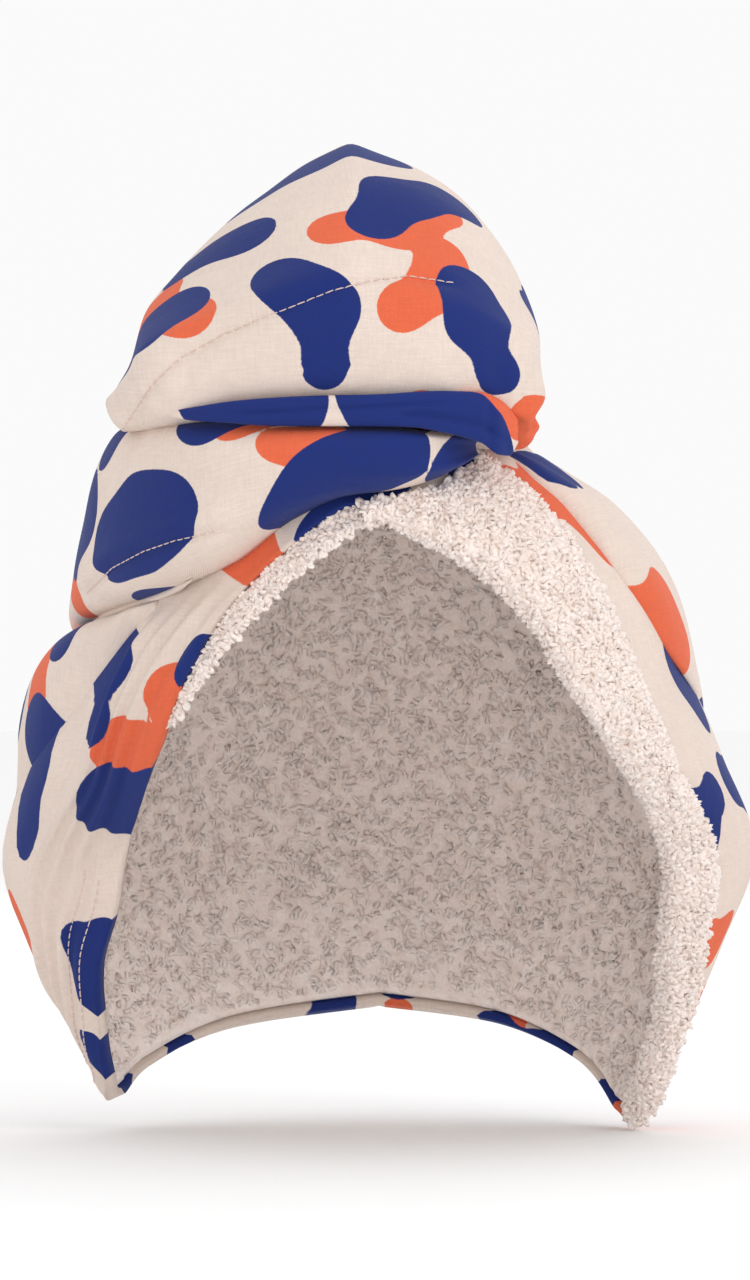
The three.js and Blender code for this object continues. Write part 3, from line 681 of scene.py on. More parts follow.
@dataclass(frozen=True)
class PrintedFinish:
    """Smooth woven cotton with a print, its cloth coordinates in metres."""

    ground: str = "dfcec3"
    navy: str = "152a70"
    coral: str = "de6643"
    thread: float = 0.42 * MM
    edge: float = 0.16 * MM

    def material(self) -> bpy.types.Material:
        """The cloth's material, made from its nodes.

        Returns:
            The material.
        """
        shader = Shader("printed_cotton")
        cloth = shader.node("UVMap", uv_map="cloth").outputs[0]
        marks = shader.node("UVMap", uv_map="print").outputs[0]
        marks = shader.node("SeparateXYZ", {0: marks}).outputs
        bleed = shader.math("MULTIPLY_ADD", shader.noise(cloth, 1400.0), 0.0)
        fray = bleed.node
        fray.inputs[1].default_value = 0.3 * MM
        fray.inputs[2].default_value = -0.15 * MM
        colour = linear(self.ground)
        for mark, ink in ((marks[1], self.coral), (marks[0], self.navy)):
            place = shader.math("ADD", mark, bleed)
            limits = {0: place, 1: -self.edge, 2: self.edge, 3: 1.0, 4: 0.0}
            cover = shader.node("MapRange", limits, interpolation_type="SMOOTHSTEP").outputs[0]
            colour = shader.mix(cover, colour, linear(ink))
        along = shader.node("Mapping", {"Vector": cloth, "Scale": (1.0, 9.0, 1.0)}).outputs[0]
        across = shader.node("Mapping", {"Vector": cloth, "Scale": (9.0, 1.0, 1.0)}).outputs[0]
        slub = shader.math("ADD", shader.noise(along, 160.0, 4.0), shader.noise(across, 160.0, 4.0))
        tone = shader.node("MapRange", {0: slub, 1: 0.6, 2: 1.4, 3: 0.9, 4: 1.07}).outputs[0]
        wear = shader.noise(cloth, 24.0, 3.0)
        fade = shader.node("MapRange", {0: wear, 1: 0.3, 2: 0.7, 3: 0.96, 4: 1.03}).outputs[0]
        hue = {"Value": shader.math("MULTIPLY", tone, fade), "Color": colour}
        colour = shader.node("HueSaturation", hue).outputs[0]
        shader.plug(shader.surface.inputs["Base Color"], colour)
        threads = self.threads(shader, cloth)
        soft = shader.relief(shader.noise(cloth, 210.0, 3.0), 0.22 * MM)
        shader.plug(shader.surface.inputs["Normal"], shader.relief(threads, 0.05 * MM, soft))
        rough = shader.node("MapRange", {0: slub, 1: 0.5, 2: 1.5, 3: 0.74, 4: 0.9}).outputs[0]
        shader.plug(shader.surface.inputs["Roughness"], rough)
        shader.surface.inputs["Sheen Weight"].default_value = 0.05
        shader.surface.inputs["Sheen Roughness"].default_value = 0.5
        shader.surface.inputs["Specular IOR Level"].default_value = 0.25
        return shader.material

    def threads(self, shader: Shader, cloth: bpy.types.NodeSocket) -> bpy.types.NodeSocket:
        """Heights of the weave's threads over and under each other.

        Args:
            shader: The shader that gets the nodes.
            cloth: The places on the cloth.

        Returns:
            The socket of heights from 0 to 1.
        """
        place = shader.node("SeparateXYZ", {0: cloth}).outputs
        waves = []
        for k in (0, 1):
            turned = shader.math("MULTIPLY", place[k], math.pi / self.thread)
            waves.append(shader.math("SINE", turned))
        crossed = shader.math("MULTIPLY", waves[0], waves[1])
        return shader.math("ADD", shader.math("MULTIPLY", crossed, 0.5), 0.5)


@dataclass(frozen=True)
class TerryFinish:
    """Soft looped terry whose colour is mixed by noise between a shaded and a lit copy of its cream: painted
    shade and painted highlight in soft clumps.
    """

    # The two colours below are a shaded and a lit copy of the terry's cream: painted shade of the pile's
    # depths and painted highlight of its tips.
    deep: str = "f1ded4"
    painted_lit_tip: str = "f9efe9"
    clump: float = 4 * MM

    def material(self) -> bpy.types.Material:
        """The terry's material, made from its nodes.

        Returns:
            The material.
        """
        shader = Shader("cream_terry")
        place = shader.node("TexCoord").outputs["Object"]
        # Painted shade and highlight in soft clumps: noise mixes the shaded and the lit copy of the cream.
        clumps = shader.noise(place, 1 / self.clump, 3.0)
        cells = shader.node("TexVoronoi", {"Vector": place, "Scale": 620.0}).outputs["Distance"]
        fine = shader.noise(place, 1500.0, 2.0)
        painted_clump_shade = shader.math("ADD", shader.math("MULTIPLY", clumps, 0.75), shader.math("MULTIPLY", fine, 0.5))
        share = shader.node("MapRange", {0: painted_clump_shade, 1: 0.36, 2: 0.82, 3: 0.0, 4: 1.0}).outputs[0]
        colour = shader.mix(share, linear(self.deep), linear(self.painted_lit_tip))
        shader.plug(shader.surface.inputs["Base Color"], colour)
        loops = shader.relief(shader.math("SUBTRACT", 1.0, cells), 0.3 * MM)
        shader.plug(shader.surface.inputs["Normal"], shader.relief(fine, 0.08 * MM, loops))
        shader.surface.inputs["Roughness"].default_value = 0.95
        shader.surface.inputs["Sheen Weight"].default_value = 0.4
        shader.surface.inputs["Sheen Roughness"].default_value = 0.6
        shader.surface.inputs["Specular IOR Level"].default_value = 0.1
        return shader.material


@dataclass(frozen=True)
class StrandFinish:
    """Thread or braid of one colour with fine strands."""

    name: str
    colour: str
    dark: str
    strand: float = 0.5 * MM

    def material(self) -> bpy.types.Material:
        """The strands' material, made from its nodes.

        Returns:
            The material.
        """
        shader = Shader(self.name)
        place = shader.node("TexCoord").outputs["Object"]
        fine = shader.noise(place, 1 / self.strand, 2.0)
        colour = shader.mix(fine, linear(self.dark), linear(self.colour))
        shader.plug(shader.surface.inputs["Base Color"], colour)
        shader.plug(shader.surface.inputs["Normal"], shader.relief(fine, 0.15 * MM))
        shader.surface.inputs["Roughness"].default_value = 0.75
        shader.surface.inputs["Sheen Weight"].default_value = 0.25
        return shader.material


@dataclass(frozen=True)
class ResinFinish:
    """Satin moulded resin with faint cloudy streaks."""

    colour: str = "efe4da"
    cloud: str = "e2cfc0"

    def material(self) -> bpy.types.Material:
        """The resin's material, made from its nodes.

        Returns:
            The material.
        """
        shader = Shader("satin_resin")
        place = shader.node("TexCoord").outputs["Object"]
        streaks = shader.noise(place, 160.0, 5.0)
        shader.plug(
            shader.surface.inputs["Base Color"],
            shader.mix(streaks, linear(self.cloud), linear(self.colour)),
        )
        gloss = shader.noise(place, 900.0, 3.0)
        rough = shader.node("MapRange", {0: gloss, 1: 0.3, 2: 0.7, 3: 0.3, 4: 0.42}).outputs[0]
        shader.plug(shader.surface.inputs["Roughness"], rough)
        shader.plug(shader.surface.inputs["Normal"], shader.relief(gloss, 0.01 * MM))
        shader.surface.inputs["Coat Weight"].default_value = 0.15
        return shader.material


@dataclass(frozen=True)
class Dress:
    """What a piece is dressed with: its material, record slot, and print if it has one."""

    material: bpy.types.Material
    slot: Slot
    pattern: PebblePrint | None = None


def build_object(name: str, points: Array, faces: Array, flat: Array, dress: Dress) -> bpy.types.Object:
    """Makes a mesh object that rides on the towel's body.

    Args:
        name: The piece's name.
        points: Vertices.
        faces: Vertex numbers, four a face.
        flat: The corners' places on the flat cloth, in the faces' order.
        dress: What the piece is dressed with.

    Returns:
        The object.
    """
    mesh = bpy.data.meshes.new(name)
    mesh.from_pydata(points.tolist(), [], faces.tolist())
    maps = {"cloth": flat}
    if dress.pattern:
        maps["print"] = dress.pattern.distances(flat)
    for label, values in maps.items():
        layer = mesh.uv_layers.new(name=label)
        layer.data.foreach_set("uv", values.astype(np.float32).ravel())
    mesh.shade_smooth()
    mesh.materials.append(dress.material)
    piece = bpy.data.objects.new(name, mesh)
    bpy.context.scene.collection.objects.link(piece)
    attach(piece, BODY)
    area = sum(face.area for face in mesh.polygons) / 2
    LOG.info("%s: %d points, %d faces, half its surface %.4f m2", name, len(points), len(faces), area)
    return piece


def flat_of(points: Array, origin: tuple[float, float]) -> Array:
    """Lays a grid of points flat by its lengths along rows and columns.

    Args:
        points: A grid, rows by columns.
        origin: Where its middle lies on the cloth, in metres.

    Returns:
        Places on the cloth for every point.
    """
    rows = np.linalg.norm(np.diff(points, axis=0), axis=-1).mean(1)
    u = np.concatenate([[0], np.cumsum(rows)])
    legs = np.linalg.norm(np.diff(points, axis=1), axis=-1)
    v = np.concatenate([np.zeros((len(points), 1)), np.cumsum(legs, axis=1)], axis=1)
    u = np.broadcast_to((u - u[-1] / 2)[:, None], v.shape)
    return np.stack([u + origin[0], v - v[:, -1:] / 2 + origin[1]], -1)


@dataclass
class Wall:
    """A closed wall of cloth between two grids of points; loop joins its first and last rows."""

    outer: Array
    inner: Array
    flat: Array
    loop: bool = False

    def quads(self) -> tuple[Array, Array]:
        """The faces.

        Returns:
            Vertex numbers of every face, and the numbers of their places in the flat grid.
        """
        rows, columns = self.outer.shape[:2]
        i = np.arange(rows if self.loop else rows - 1)[:, None]
        j = np.arange(columns - 1)[None, :]
        corners = [[(0, i, j), (0, i + 1, j), (0, i + 1, j + 1), (0, i, j + 1)]]
        corners.append([(1, i, j), (1, i, j + 1), (1, i + 1, j + 1), (1, i + 1, j)])
        end = columns - 1
        corners.append([(0, i, 0), (1, i, 0), (1, i + 1, 0), (0, i + 1, 0)])
        corners.append([(0, i, end), (0, i + 1, end), (1, i + 1, end), (1, i, end)])
        if not self.loop:
            last = rows - 1
            corners.append([(0, 0, j), (0, 0, j + 1), (1, 0, j + 1), (1, 0, j)])
            corners.append([(0, last, j), (1, last, j), (1, last, j + 1), (0, last, j + 1)])
        faces, places = [], []
        for quad in corners:
            shape = np.broadcast_shapes(*[np.broadcast(a, b).shape for _, a, b in quad])
            for found, wrap, layers in ((faces, rows, rows * columns), (places, 10**9, 0)):
                ids = [layer * layers + (a % wrap) * columns + b for layer, a, b in quad]
                found.append(np.stack([np.broadcast_to(x, shape).ravel() for x in ids], -1))
        return np.concatenate(faces), np.concatenate(places)

    def build(self, name: str, dress: Dress) -> bpy.types.Object:
        """Makes the wall's object.

        Args:
            name: The piece's name.
            dress: What the piece is dressed with.

        Returns:
            The object.
        """
        faces, places = self.quads()
        points = np.concatenate([self.outer.reshape(-1, 3), self.inner.reshape(-1, 3)])
        flat = self.flat.reshape(-1, 2)[places.ravel()]
        return build_object(name, points, faces, flat, dress)


@dataclass
class Surface:
    """A grid of points that small things are set on."""

    points: Array

    def scatter(self, count: int, seed: int, weight: Array | None = None) -> tuple[Array, Array]:
        """Random places on the surface, evenly spread by area.

        Args:
            count: How many.
            seed: For the same places on every run.
            weight: How likely each cell is beside its area.

        Returns:
            Places and outward directions.
        """
        draw = np.random.default_rng(seed)
        p = self.points
        cross = np.cross(p[1:, :-1] - p[:-1, :-1], p[:-1, 1:] - p[:-1, :-1])
        area = np.linalg.norm(cross, axis=-1)
        if weight is not None:
            area = area * weight
        cell = draw.choice(area.size, count, p=(area / area.sum()).ravel())
        i, j = np.unravel_index(cell, area.shape)
        s, t = draw.uniform(size=(2, count, 1))
        low = lerp(p[i, j], p[i + 1, j], s)
        high = lerp(p[i, j + 1], p[i + 1, j + 1], s)
        return lerp(low, high, t), unit(cross[i, j])


def frames_on(normals: Array, along: Array | None, seed: int, lean: float) -> Array:
    """Axes for small things that stand on a surface.

    Args:
        normals: Outward directions.
        along: Directions that the things run in, or None for any.
        seed: For the same draw on every run.
        lean: How far they lean at random, as a slope.

    Returns:
        For each, its X, Y and Z axes as rows.
    """
    draw = np.random.default_rng(seed)
    up = unit(normals + draw.normal(0, lean, normals.shape))
    run = draw.normal(size=normals.shape) if along is None else along
    x = unit(run - up * (run * up).sum(-1, keepdims=True))
    return np.stack([x, np.cross(up, x), up], 1)


def tube(path: Array, side: Array, radii: Array, sides: int) -> tuple[Array, Array]:
    """A tube round a path that lies in a plane.

    Args:
        path: Points of the path.
        side: The direction out of its plane.
        radii: The tube's radius at each point.
        sides: Corners of its section.

    Returns:
        Vertices, and faces of four corners.
    """
    tangent = unit(np.gradient(path, axis=0))
    side = np.broadcast_to(side, path.shape)[:, None]
    other = np.cross(tangent, side[:, 0])
    angle = np.arange(sides) * 2 * math.pi / sides
    ring = np.cos(angle)[None, :, None] * other[:, None] + np.sin(angle)[None, :, None] * side
    points = path[:, None] + ring * radii[:, None, None]
    i, k = np.meshgrid(np.arange(len(path) - 1), np.arange(sides), indexing="ij")
    quad = [i * sides + k, (i + 1) * sides + k]
    following = (k + 1) % sides
    quad += [(i + 1) * sides + following, i * sides + following]
    return points.reshape(-1, 3), np.stack(quad, -1).reshape(-1, 4)


def stamp(
    name: str, shape: tuple[Array, Array], places: Array, frames: Array, sizes: Array, dress: Dress
) -> bpy.types.Object:
    """Sets many copies of a small shape as one joined mesh.

    Args:
        name: The piece's name.
        shape: The small shape's vertices and faces.
        places: Where each copy stands.
        frames: Axes of each copy.
        sizes: Size of each copy along its axes.
        dress: What the piece is dressed with.

    Returns:
        The object.
    """
    points, faces = shape
    local = points[None] * sizes[:, None]
    world = np.einsum("nvk,nkc->nvc", local, frames) + places[:, None]
    every = faces[None] + (np.arange(len(places)) * len(points))[:, None, None]
    every = every.reshape(-1, 4)
    flat = np.zeros((every.size, 2))
    return build_object(name, world.reshape(-1, 3), every, flat, dress)


@dataclass
class Pile:
    """The loops of terry that stand on a surface."""

    dress: Dress
    height: float = 1.5 * MM
    width: float = 0.8 * MM
    thread: float = 0.55 * MM
    bends: int = 4
    sides: int = 4

    def shape(self) -> tuple[Array, Array]:
        """One loop of unit width and height, its thread as thick as it should be once it is sized.

        Returns:
            Its vertices and faces.
        """
        t = np.linspace(0, 1, self.bends + 1)
        path = np.stack([np.cos(math.pi * t), 0.35 * np.sin(2 * math.pi * t), np.sin(math.pi * t)], -1)
        thick = np.full(len(t), self.thread / self.width)
        return tube(path, np.array([0.0, 1.0, 0.0]), thick, self.sides)

    def build(self, name: str, places: Array, normals: Array, seed: int) -> bpy.types.Object:
        """Sets the loops.

        Args:
            name: The piece's name.
            places: Where the loops stand.
            normals: Outward directions there.
            seed: For the same loops on every run.

        Returns:
            The object.
        """
        draw = np.random.default_rng(seed)
        sizes = draw.uniform(0.7, 1.3, (len(places), 3)) * [self.width, self.width, self.height]
        frames = frames_on(normals, None, seed + 1, 0.45)
        sunk = places - normals * 0.42 * self.height
        return stamp(name, self.shape(), sunk, frames, sizes, self.dress)


@dataclass
class Stitching:
    """Rows of machine stitches."""

    dress: Dress
    length: float = 2.6 * MM
    gap: float = 0.25 * MM
    radius: float = 0.2 * MM

    def shape(self) -> tuple[Array, Array]:
        """One stitch that dips into the cloth at both ends.

        Returns:
            Its vertices and faces.
        """
        t = np.linspace(-1, 1, 7)
        sink = self.radius * (0.55 - 1.5 * np.abs(t) ** 4)
        path = np.stack([t * self.length / 2, 0 * t, sink], -1)
        thick = self.radius * np.sqrt(np.clip(1.05 - t**4, 0.1, 1))
        return tube(path, np.array([0.0, 1.0, 0.0]), thick, 5)

    def build(self, name: str, rows: list[tuple[Array, Array]]) -> bpy.types.Object:
        """Sews rows of stitches.

        Args:
            name: The piece's name.
            rows: Points along each row, and outward directions at them.

        Returns:
            The object.
        """
        places, ways, outs = [], [], []
        for line, normals in rows:
            legs = np.linalg.norm(np.diff(line, axis=0), axis=1)
            gone = np.concatenate([[0], np.cumsum(legs)])
            steps = np.arange(self.length / 2, gone[-1], self.length + self.gap)
            ahead = np.stack([np.interp(steps + 0.4 * MM, gone, line[:, k]) for k in range(3)], -1)
            at = np.stack([np.interp(steps, gone, line[:, k]) for k in range(3)], -1)
            places.append(at)
            ways.append(ahead - at)
            outs.append(np.stack([np.interp(steps, gone, normals[:, k]) for k in range(3)], -1))
        frames = frames_on(unit(np.concatenate(outs)), unit(np.concatenate(ways)), 3, 0.0)
        sizes = np.ones((len(frames), 3))
        return stamp(name, self.shape(), np.concatenate(places), frames, sizes, self.dress)


def sighted(piece: bpy.types.Object, line: tuple[tuple[float, float], ...]) -> tuple[Array, Array]:
    """Where a line that is seen from the front lies on a piece.

    Args:
        piece: The piece.
        line: Stations on the plane of sight in millimetres.

    Returns:
        Points along the line on the piece, and outward directions there.
    """
    mesh = piece.data
    tree = BVHTree.FromPolygons([v.co for v in mesh.vertices], [p.vertices for p in mesh.polygons])
    stations = np.array(line) * MM
    legs = np.linalg.norm(np.diff(stations, axis=0), axis=1)
    gone = np.concatenate([[0], np.cumsum(legs)])
    points, normals = [], []
    for step in np.arange(0, gone[-1], 0.5 * MM):
        x, z = (np.interp(step, gone, stations[:, k]) for k in (0, 1))
        hit, normal, _, _ = tree.ray_cast(SIGHT.eye, Vector((x, 0, z)) - SIGHT.eye)
        if hit is not None:
            points.append(hit)
            normals.append(normal)
    return np.array(points), np.array(normals)


def hood_print(turn: Array, drop: Array) -> Array:
    """Where the hood's cloth lies flat, in metres, at turns and drops."""
    return np.stack([turn * DEGREE * 0.098 + 0.012, -drop * 0.225 + 0.03], -1)


@dataclass
class Hood:
    """The printed hood and the terry that lines it, from the hem to the tail's mouth."""

    cloth: Dress
    terry: Dress
    wall: float = 1.6 * MM
    lining: float = 2.2 * MM
    gap: float = 0.4 * MM
    peek: float = 7 * MM
    pleat_rise: float = 2.6 * MM
    pleat_spread: float = 30 * MM
    columns: int = 392
    near_rows: int = 31
    far_rows: int = 46
    pleats: tuple[tuple[float, float, float], ...] = (
        (0.2, 0.65, 0.09),
        (0.46, 1.1, 0.1),
        (0.72, 0.9, 0.085),
        (0.97, 1.25, 0.12),
    )

    face: Array = field(init=False)
    edge: Array = field(init=False)

    def grid(self, columns: int, near: int, far: int, starts: float, hem: float = 0) -> tuple[Array, ...]:
        """Crown directions, lengths above the hem, turns and drops of a grid of the hood.

        Args:
            columns: Columns of cloth round the hood.
            near: Rows from the hem to the last pleat.
            far: Rows from there to the mouth.
            starts: How far above the hem the first row lies where the lining peeks out.
            hem: The same where it doesn't.

        Returns:
            The four grids.
        """
        crown = np.linspace(-180, 180, columns, endpoint=False)
        bare = HEM.at(crown)["peek"]
        start = bare * starts + (1 - ramp(bare * 4)) * (1 - self.cuffed(crown)) * hem
        steps = np.linspace(0, 1, near)
        lengths = lerp(start[:, None], self.pleat_spread, steps[None])
        shares = FORM.shares(crown, lengths)
        above = lerp(shares[:, -1:], 1.0, np.linspace(0, 1, far + 1)[None, 1:])
        shares = np.concatenate([shares, above], axis=1)
        gone = self.pleat_spread + (above - shares[:, near - 1 : near]) * FORM.length
        lengths = np.concatenate([lengths, gone], axis=1)
        turn, drop = FORM.column(crown[:, None], shares)
        return np.broadcast_to(crown[:, None], turn.shape), lengths, turn, drop

    def cuffed(self, crown: Array) -> Array:
        """How far columns lie under the cuff, from 0 to 1."""
        return ramp((crown + 9) / 5) * ramp((117 - crown) / 5)

    def relief(self, crown: Array, length: Array, turn: Array, drop: Array) -> Array:
        """How far the cloth stands off its smooth form, for pleats, hem, gathers and soft waves.

        Args:
            crown: Crown directions of the columns.
            length: Lengths above the hem.
            turn: Turns.
            drop: Drops.

        Returns:
            Heights in metres.
        """
        ends = ramp((crown + 114) / 16) * ramp((-18 - crown) / 16)
        below = ramp(((drop - FRONT_WRAP.at(turn)["low"]) * FORM.length - 2 * MM) / (14 * MM))
        lift = np.zeros(turn.shape)
        for at, height, width in self.pleats:
            away = length / self.pleat_spread - at - 0.03 * np.sin(crown * DEGREE * 7)
            lift += height * self.pleat_rise * bump(away, width)
        lift *= ends * below
        place = (turn * DEGREE * FORM.half_width, drop * FORM.length)
        edge = ramp(length / (4 * MM))
        hem = 0.5 * MM * ramp(1 - (length - 6 * MM) / (3 * MM)) * ramp((np.abs(crown) - 108) / 10)
        waves = 0.7 * MM * (0.5 + 0.5 * Ripples(5, 46 * MM, 1.0).at(*place)) * edge
        tension = np.cos(turn * DEGREE * 13 + 22 * drop) * ramp((np.abs(turn) - 100) / 30)
        gathers = 0.75 * MM * (0.5 + 0.5 * tension) * ramp((0.8 - drop) / 0.3) * edge
        seam = -0.8 * MM * bump((180 - np.abs(turn)) * DEGREE * 0.1, 1.6 * MM)
        return lift + hem + waves + gathers + seam + 0.7 * MM * ramp((np.abs(turn) - 150) / 20)

    def build(self) -> tuple[bpy.types.Object, bpy.types.Object]:
        """Makes the printed cloth and the lining.

        Returns:
            The two objects.
        """
        grid = self.grid(self.columns, self.near_rows, self.far_rows, self.peek)
        crown, length, turn, drop = grid
        outer = FORM.off(turn, drop, self.relief(*grid))
        bare = HEM.at(crown)["peek"]
        hemmed = (1 - ramp(bare * 4)) * (1 - self.cuffed(crown))
        rolled = -self.wall - (self.lining + self.gap) * ramp((3.2 * MM - length) / (1.2 * MM)) * hemmed
        inner = FORM.off(turn, drop, rolled)
        flat = hood_print(np.concatenate([turn, turn[:1] + 360]), np.concatenate([drop, drop[:1]]))
        hood = Wall(outer, inner, flat, loop=True).build("hood_cloth", self.cloth)
        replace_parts(hood, "hood")
        _, _, turn, drop = self.grid(260, 14, 52, 0, 3.4 * MM)
        base = -self.wall - self.gap
        nubs = 0.45 * MM * Ripples(9, 5 * MM, 1.0, 24).at(turn * DEGREE * 0.1, drop * FORM.length)
        outer = FORM.off(turn, drop, np.full(turn.shape, base))
        self.edge = outer
        self.face = FORM.off(turn, drop, base - self.lining + 0.3 * MM + nubs)
        flat = np.zeros((len(outer) + 1, outer.shape[1], 2))
        lining = Wall(outer, self.face, flat, loop=True).build("terry_lining_cloth", self.terry)
        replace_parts(lining, "terry_lining")
        return hood, lining

    def line(self, above: float, crowns: tuple[float, float]) -> tuple[Array, Array]:
        """A line that runs beside the hem on the outside of the cloth.

        Args:
            above: Its length above the hem.
            crowns: The crown directions that it runs between.

        Returns:
            Points along it, and outward directions there.
        """
        crown = np.linspace(*crowns, 500)
        share = FORM.shares(crown, np.full((500, 1), above))
        turn, drop = FORM.column(crown[:, None], share)
        lift = self.relief(crown[:, None], np.full((500, 1), above), turn, drop)
        return FORM.off(turn, drop, lift)[:, 0], FORM.normal(turn, drop)[:, 0]


@dataclass
class Folds:
    """The folds of printed cloth that lie on the hood: shoulder, side, front wrap and tuck."""

    cloth: Dress
    dense: Dress
    wall: float = 2.6 * MM
    rest: float = 0.5 * MM
    wrap_rise: float = 20 * MM
    wrap_behind: float = 0.12
    side_rise: float = 9.8 * MM
    shoulder_rise: float = 5 * MM
    seam: tuple[tuple[float, float], ...] = (
        (-84.7, -46.8),
        (-77.4, -39.5),
        (-68.4, -34.7),
        (-59.4, -31.6),
        (-48.1, -29.1),
    )

    def arch(
        self, foot: Array, head: Array, out: Array, rise: Array, wall: float, steps: int
    ) -> tuple[Array, Array]:
        """Standing curves of cloth between two feet.

        Args:
            foot: Lower feet, one per row.
            head: Upper feet.
            out: The directions that the curves stand in.
            rise: How far they stand.
            wall: The cloth's thickness.
            steps: Steps of each curve.

        Returns:
            The outer and the inner grid.
        """
        chord = head - foot
        long = np.linalg.norm(chord, axis=-1)
        squeeze = np.clip(1 - 2 * wall / np.maximum(long, 2.2 * wall), 0.1, 1)
        angle = math.pi * np.linspace(0, 1, steps + 1)
        side = -np.sign(np.cos(angle)) * np.abs(np.cos(angle)) ** 0.6
        stand = np.clip(np.sin(angle), 0, 1) ** 0.6
        grids = []
        for width, height in ((np.ones_like(squeeze), rise), (squeeze, np.maximum(rise - wall, 0))):
            reach = 0.5 + 0.5 * side[None] * width[:, None]
            up = stand[None] * height[:, None]
            grids.append(foot[:, None] + chord[:, None] * reach[..., None] + out[:, None] * up[..., None])
        return grids[0], grids[1]

    def front_wrap(self) -> bpy.types.Object:
        """The stout roll of cloth on the forehead, with a seam and soft folds at its tucked end.

        Returns:
            The object.
        """
        turn = np.linspace(-158, 26, 230)
        row = FRONT_WRAP.at(turn)
        foot = FORM.off(turn, row["low"], self.rest)
        out = FORM.normal(turn, row["low"]) * [1, 1, 0]
        out = unit(out)
        head = foot - out * (row["inset"] * self.wrap_rise)[:, None]
        behind = np.clip((-turn - 95) / 60, 0, 1)
        upper = CREASE.at(head[:, 0] / FORM.half_width)["wrap"]
        head[:, 2] = np.maximum(FORM.height(upper), foot[:, 2] + 2 * MM)
        narrow = self.wrap_behind * (1 - 0.7 * ramp((-turn - 136) / 22))
        rear = FORM.off(turn, row["low"] - narrow, self.rest)
        head = lerp(head, rear, behind[:, None])
        steps = 64
        outer, inner = self.arch(foot, head, out, row["rise"] * self.wrap_rise, self.wall, steps)
        t = np.linspace(0, 1, steps + 1)[None]
        inside = np.sin(math.pi * t) ** 0.5
        tucked = ramp((turn + 12) / 30)[:, None]
        folds = 1.3 * MM * np.cos(5.2 * math.pi * t + turn[:, None] * 0.03) * tucked * inside
        lean = turn[:, None] * DEGREE * 0.1
        waves = 0.9 * MM * Ripples(14, 38 * MM, 2.4).at(lean, t * 0.06 + 0 * lean) * inside
        places = SIGHT.project(outer)
        high, share = along_line(places, self.seam)
        shown = ramp((share + 0.1) / 0.15) * ramp((1.25 - share) / 0.3)
        shown = shown * ramp(-outer[..., 1] / (20 * MM) + 1.6)
        seam = (1.2 * MM * bump(high - 3.5 * MM, 3 * MM) - 1.3 * MM * bump(high, 1.4 * MM)) * shown
        outer = outer + out[:, None] * (folds + waves + seam)[..., None]
        flat = flat_of(outer, (0.078, -0.04))
        piece = Wall(outer, inner, flat).build("front_wrap_cloth", self.dense)
        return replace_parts(piece, "front_wrap")

    def hood_fold(
        self, name: str, table: Profile, rise: float, crest: float, slip: tuple[float, float], seed: int
    ) -> bpy.types.Object:
        """A fold that lies on the hood between two drops.

        Args:
            name: The node that it stands for.
            table: Its rows by turn.
            rise: Its height where a row's rise is 1.
            crest: Above 1 it is fullest high up.
            slip: How far the print has slipped against the hood's, where the fold is full.
            seed: For its soft waves.

        Returns:
            The object.
        """
        turn = np.linspace(table.key[0], table.key[-1], 200)
        row = table.at(turn)
        width = np.linalg.norm(FORM.point(turn, row["low"]) - FORM.point(turn, row["high"]), axis=-1)
        squeeze = np.clip(1 - 2 * self.wall / np.maximum(width, MM), 0.3, 1)
        height = np.maximum(row["rise"] * rise, 0.8 * MM)
        t = np.linspace(0, 1, 57)
        side = -np.sign(np.cos(math.pi * t)) * np.abs(np.cos(math.pi * t)) ** 0.7
        stand = np.sin(math.pi * np.clip(0.5 + 0.5 * side, 0, 1) ** crest)
        stand = np.clip(stand, 0, 1) ** 0.6
        inside = np.sin(math.pi * t)[None] ** 0.5
        ripples = Ripples(seed, 30 * MM, 2.5)
        waves = 0.6 * MM * ripples.at(turn[:, None] * DEGREE * 0.1, t[None] * width[:, None])
        full = np.minimum(height / (3 * MM), 1)[:, None]
        below = np.maximum(height - self.wall, 0)
        grids = []
        for share, tall, extra in ((1 + 0 * squeeze, height, waves), (squeeze, below, 0)):
            drop = lerp(row["low"][:, None], row["high"][:, None], 0.5 + 0.5 * side[None] * share[:, None])
            lift = self.rest + tall[:, None] * stand[None] + extra * inside * full
            grids.append(FORM.off(np.broadcast_to(turn[:, None], drop.shape), drop, lift))
        drop = lerp(row["low"][:, None], row["high"][:, None], 0.5 + 0.5 * side[None])
        slipped = ramp(row["rise"] * 1.6)[:, None, None] * np.array(slip)
        flat = hood_print(np.broadcast_to(turn[:, None], drop.shape), drop) + slipped
        piece = Wall(grids[0], grids[1], flat).build(name + "_cloth", self.cloth)
        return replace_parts(piece, name)

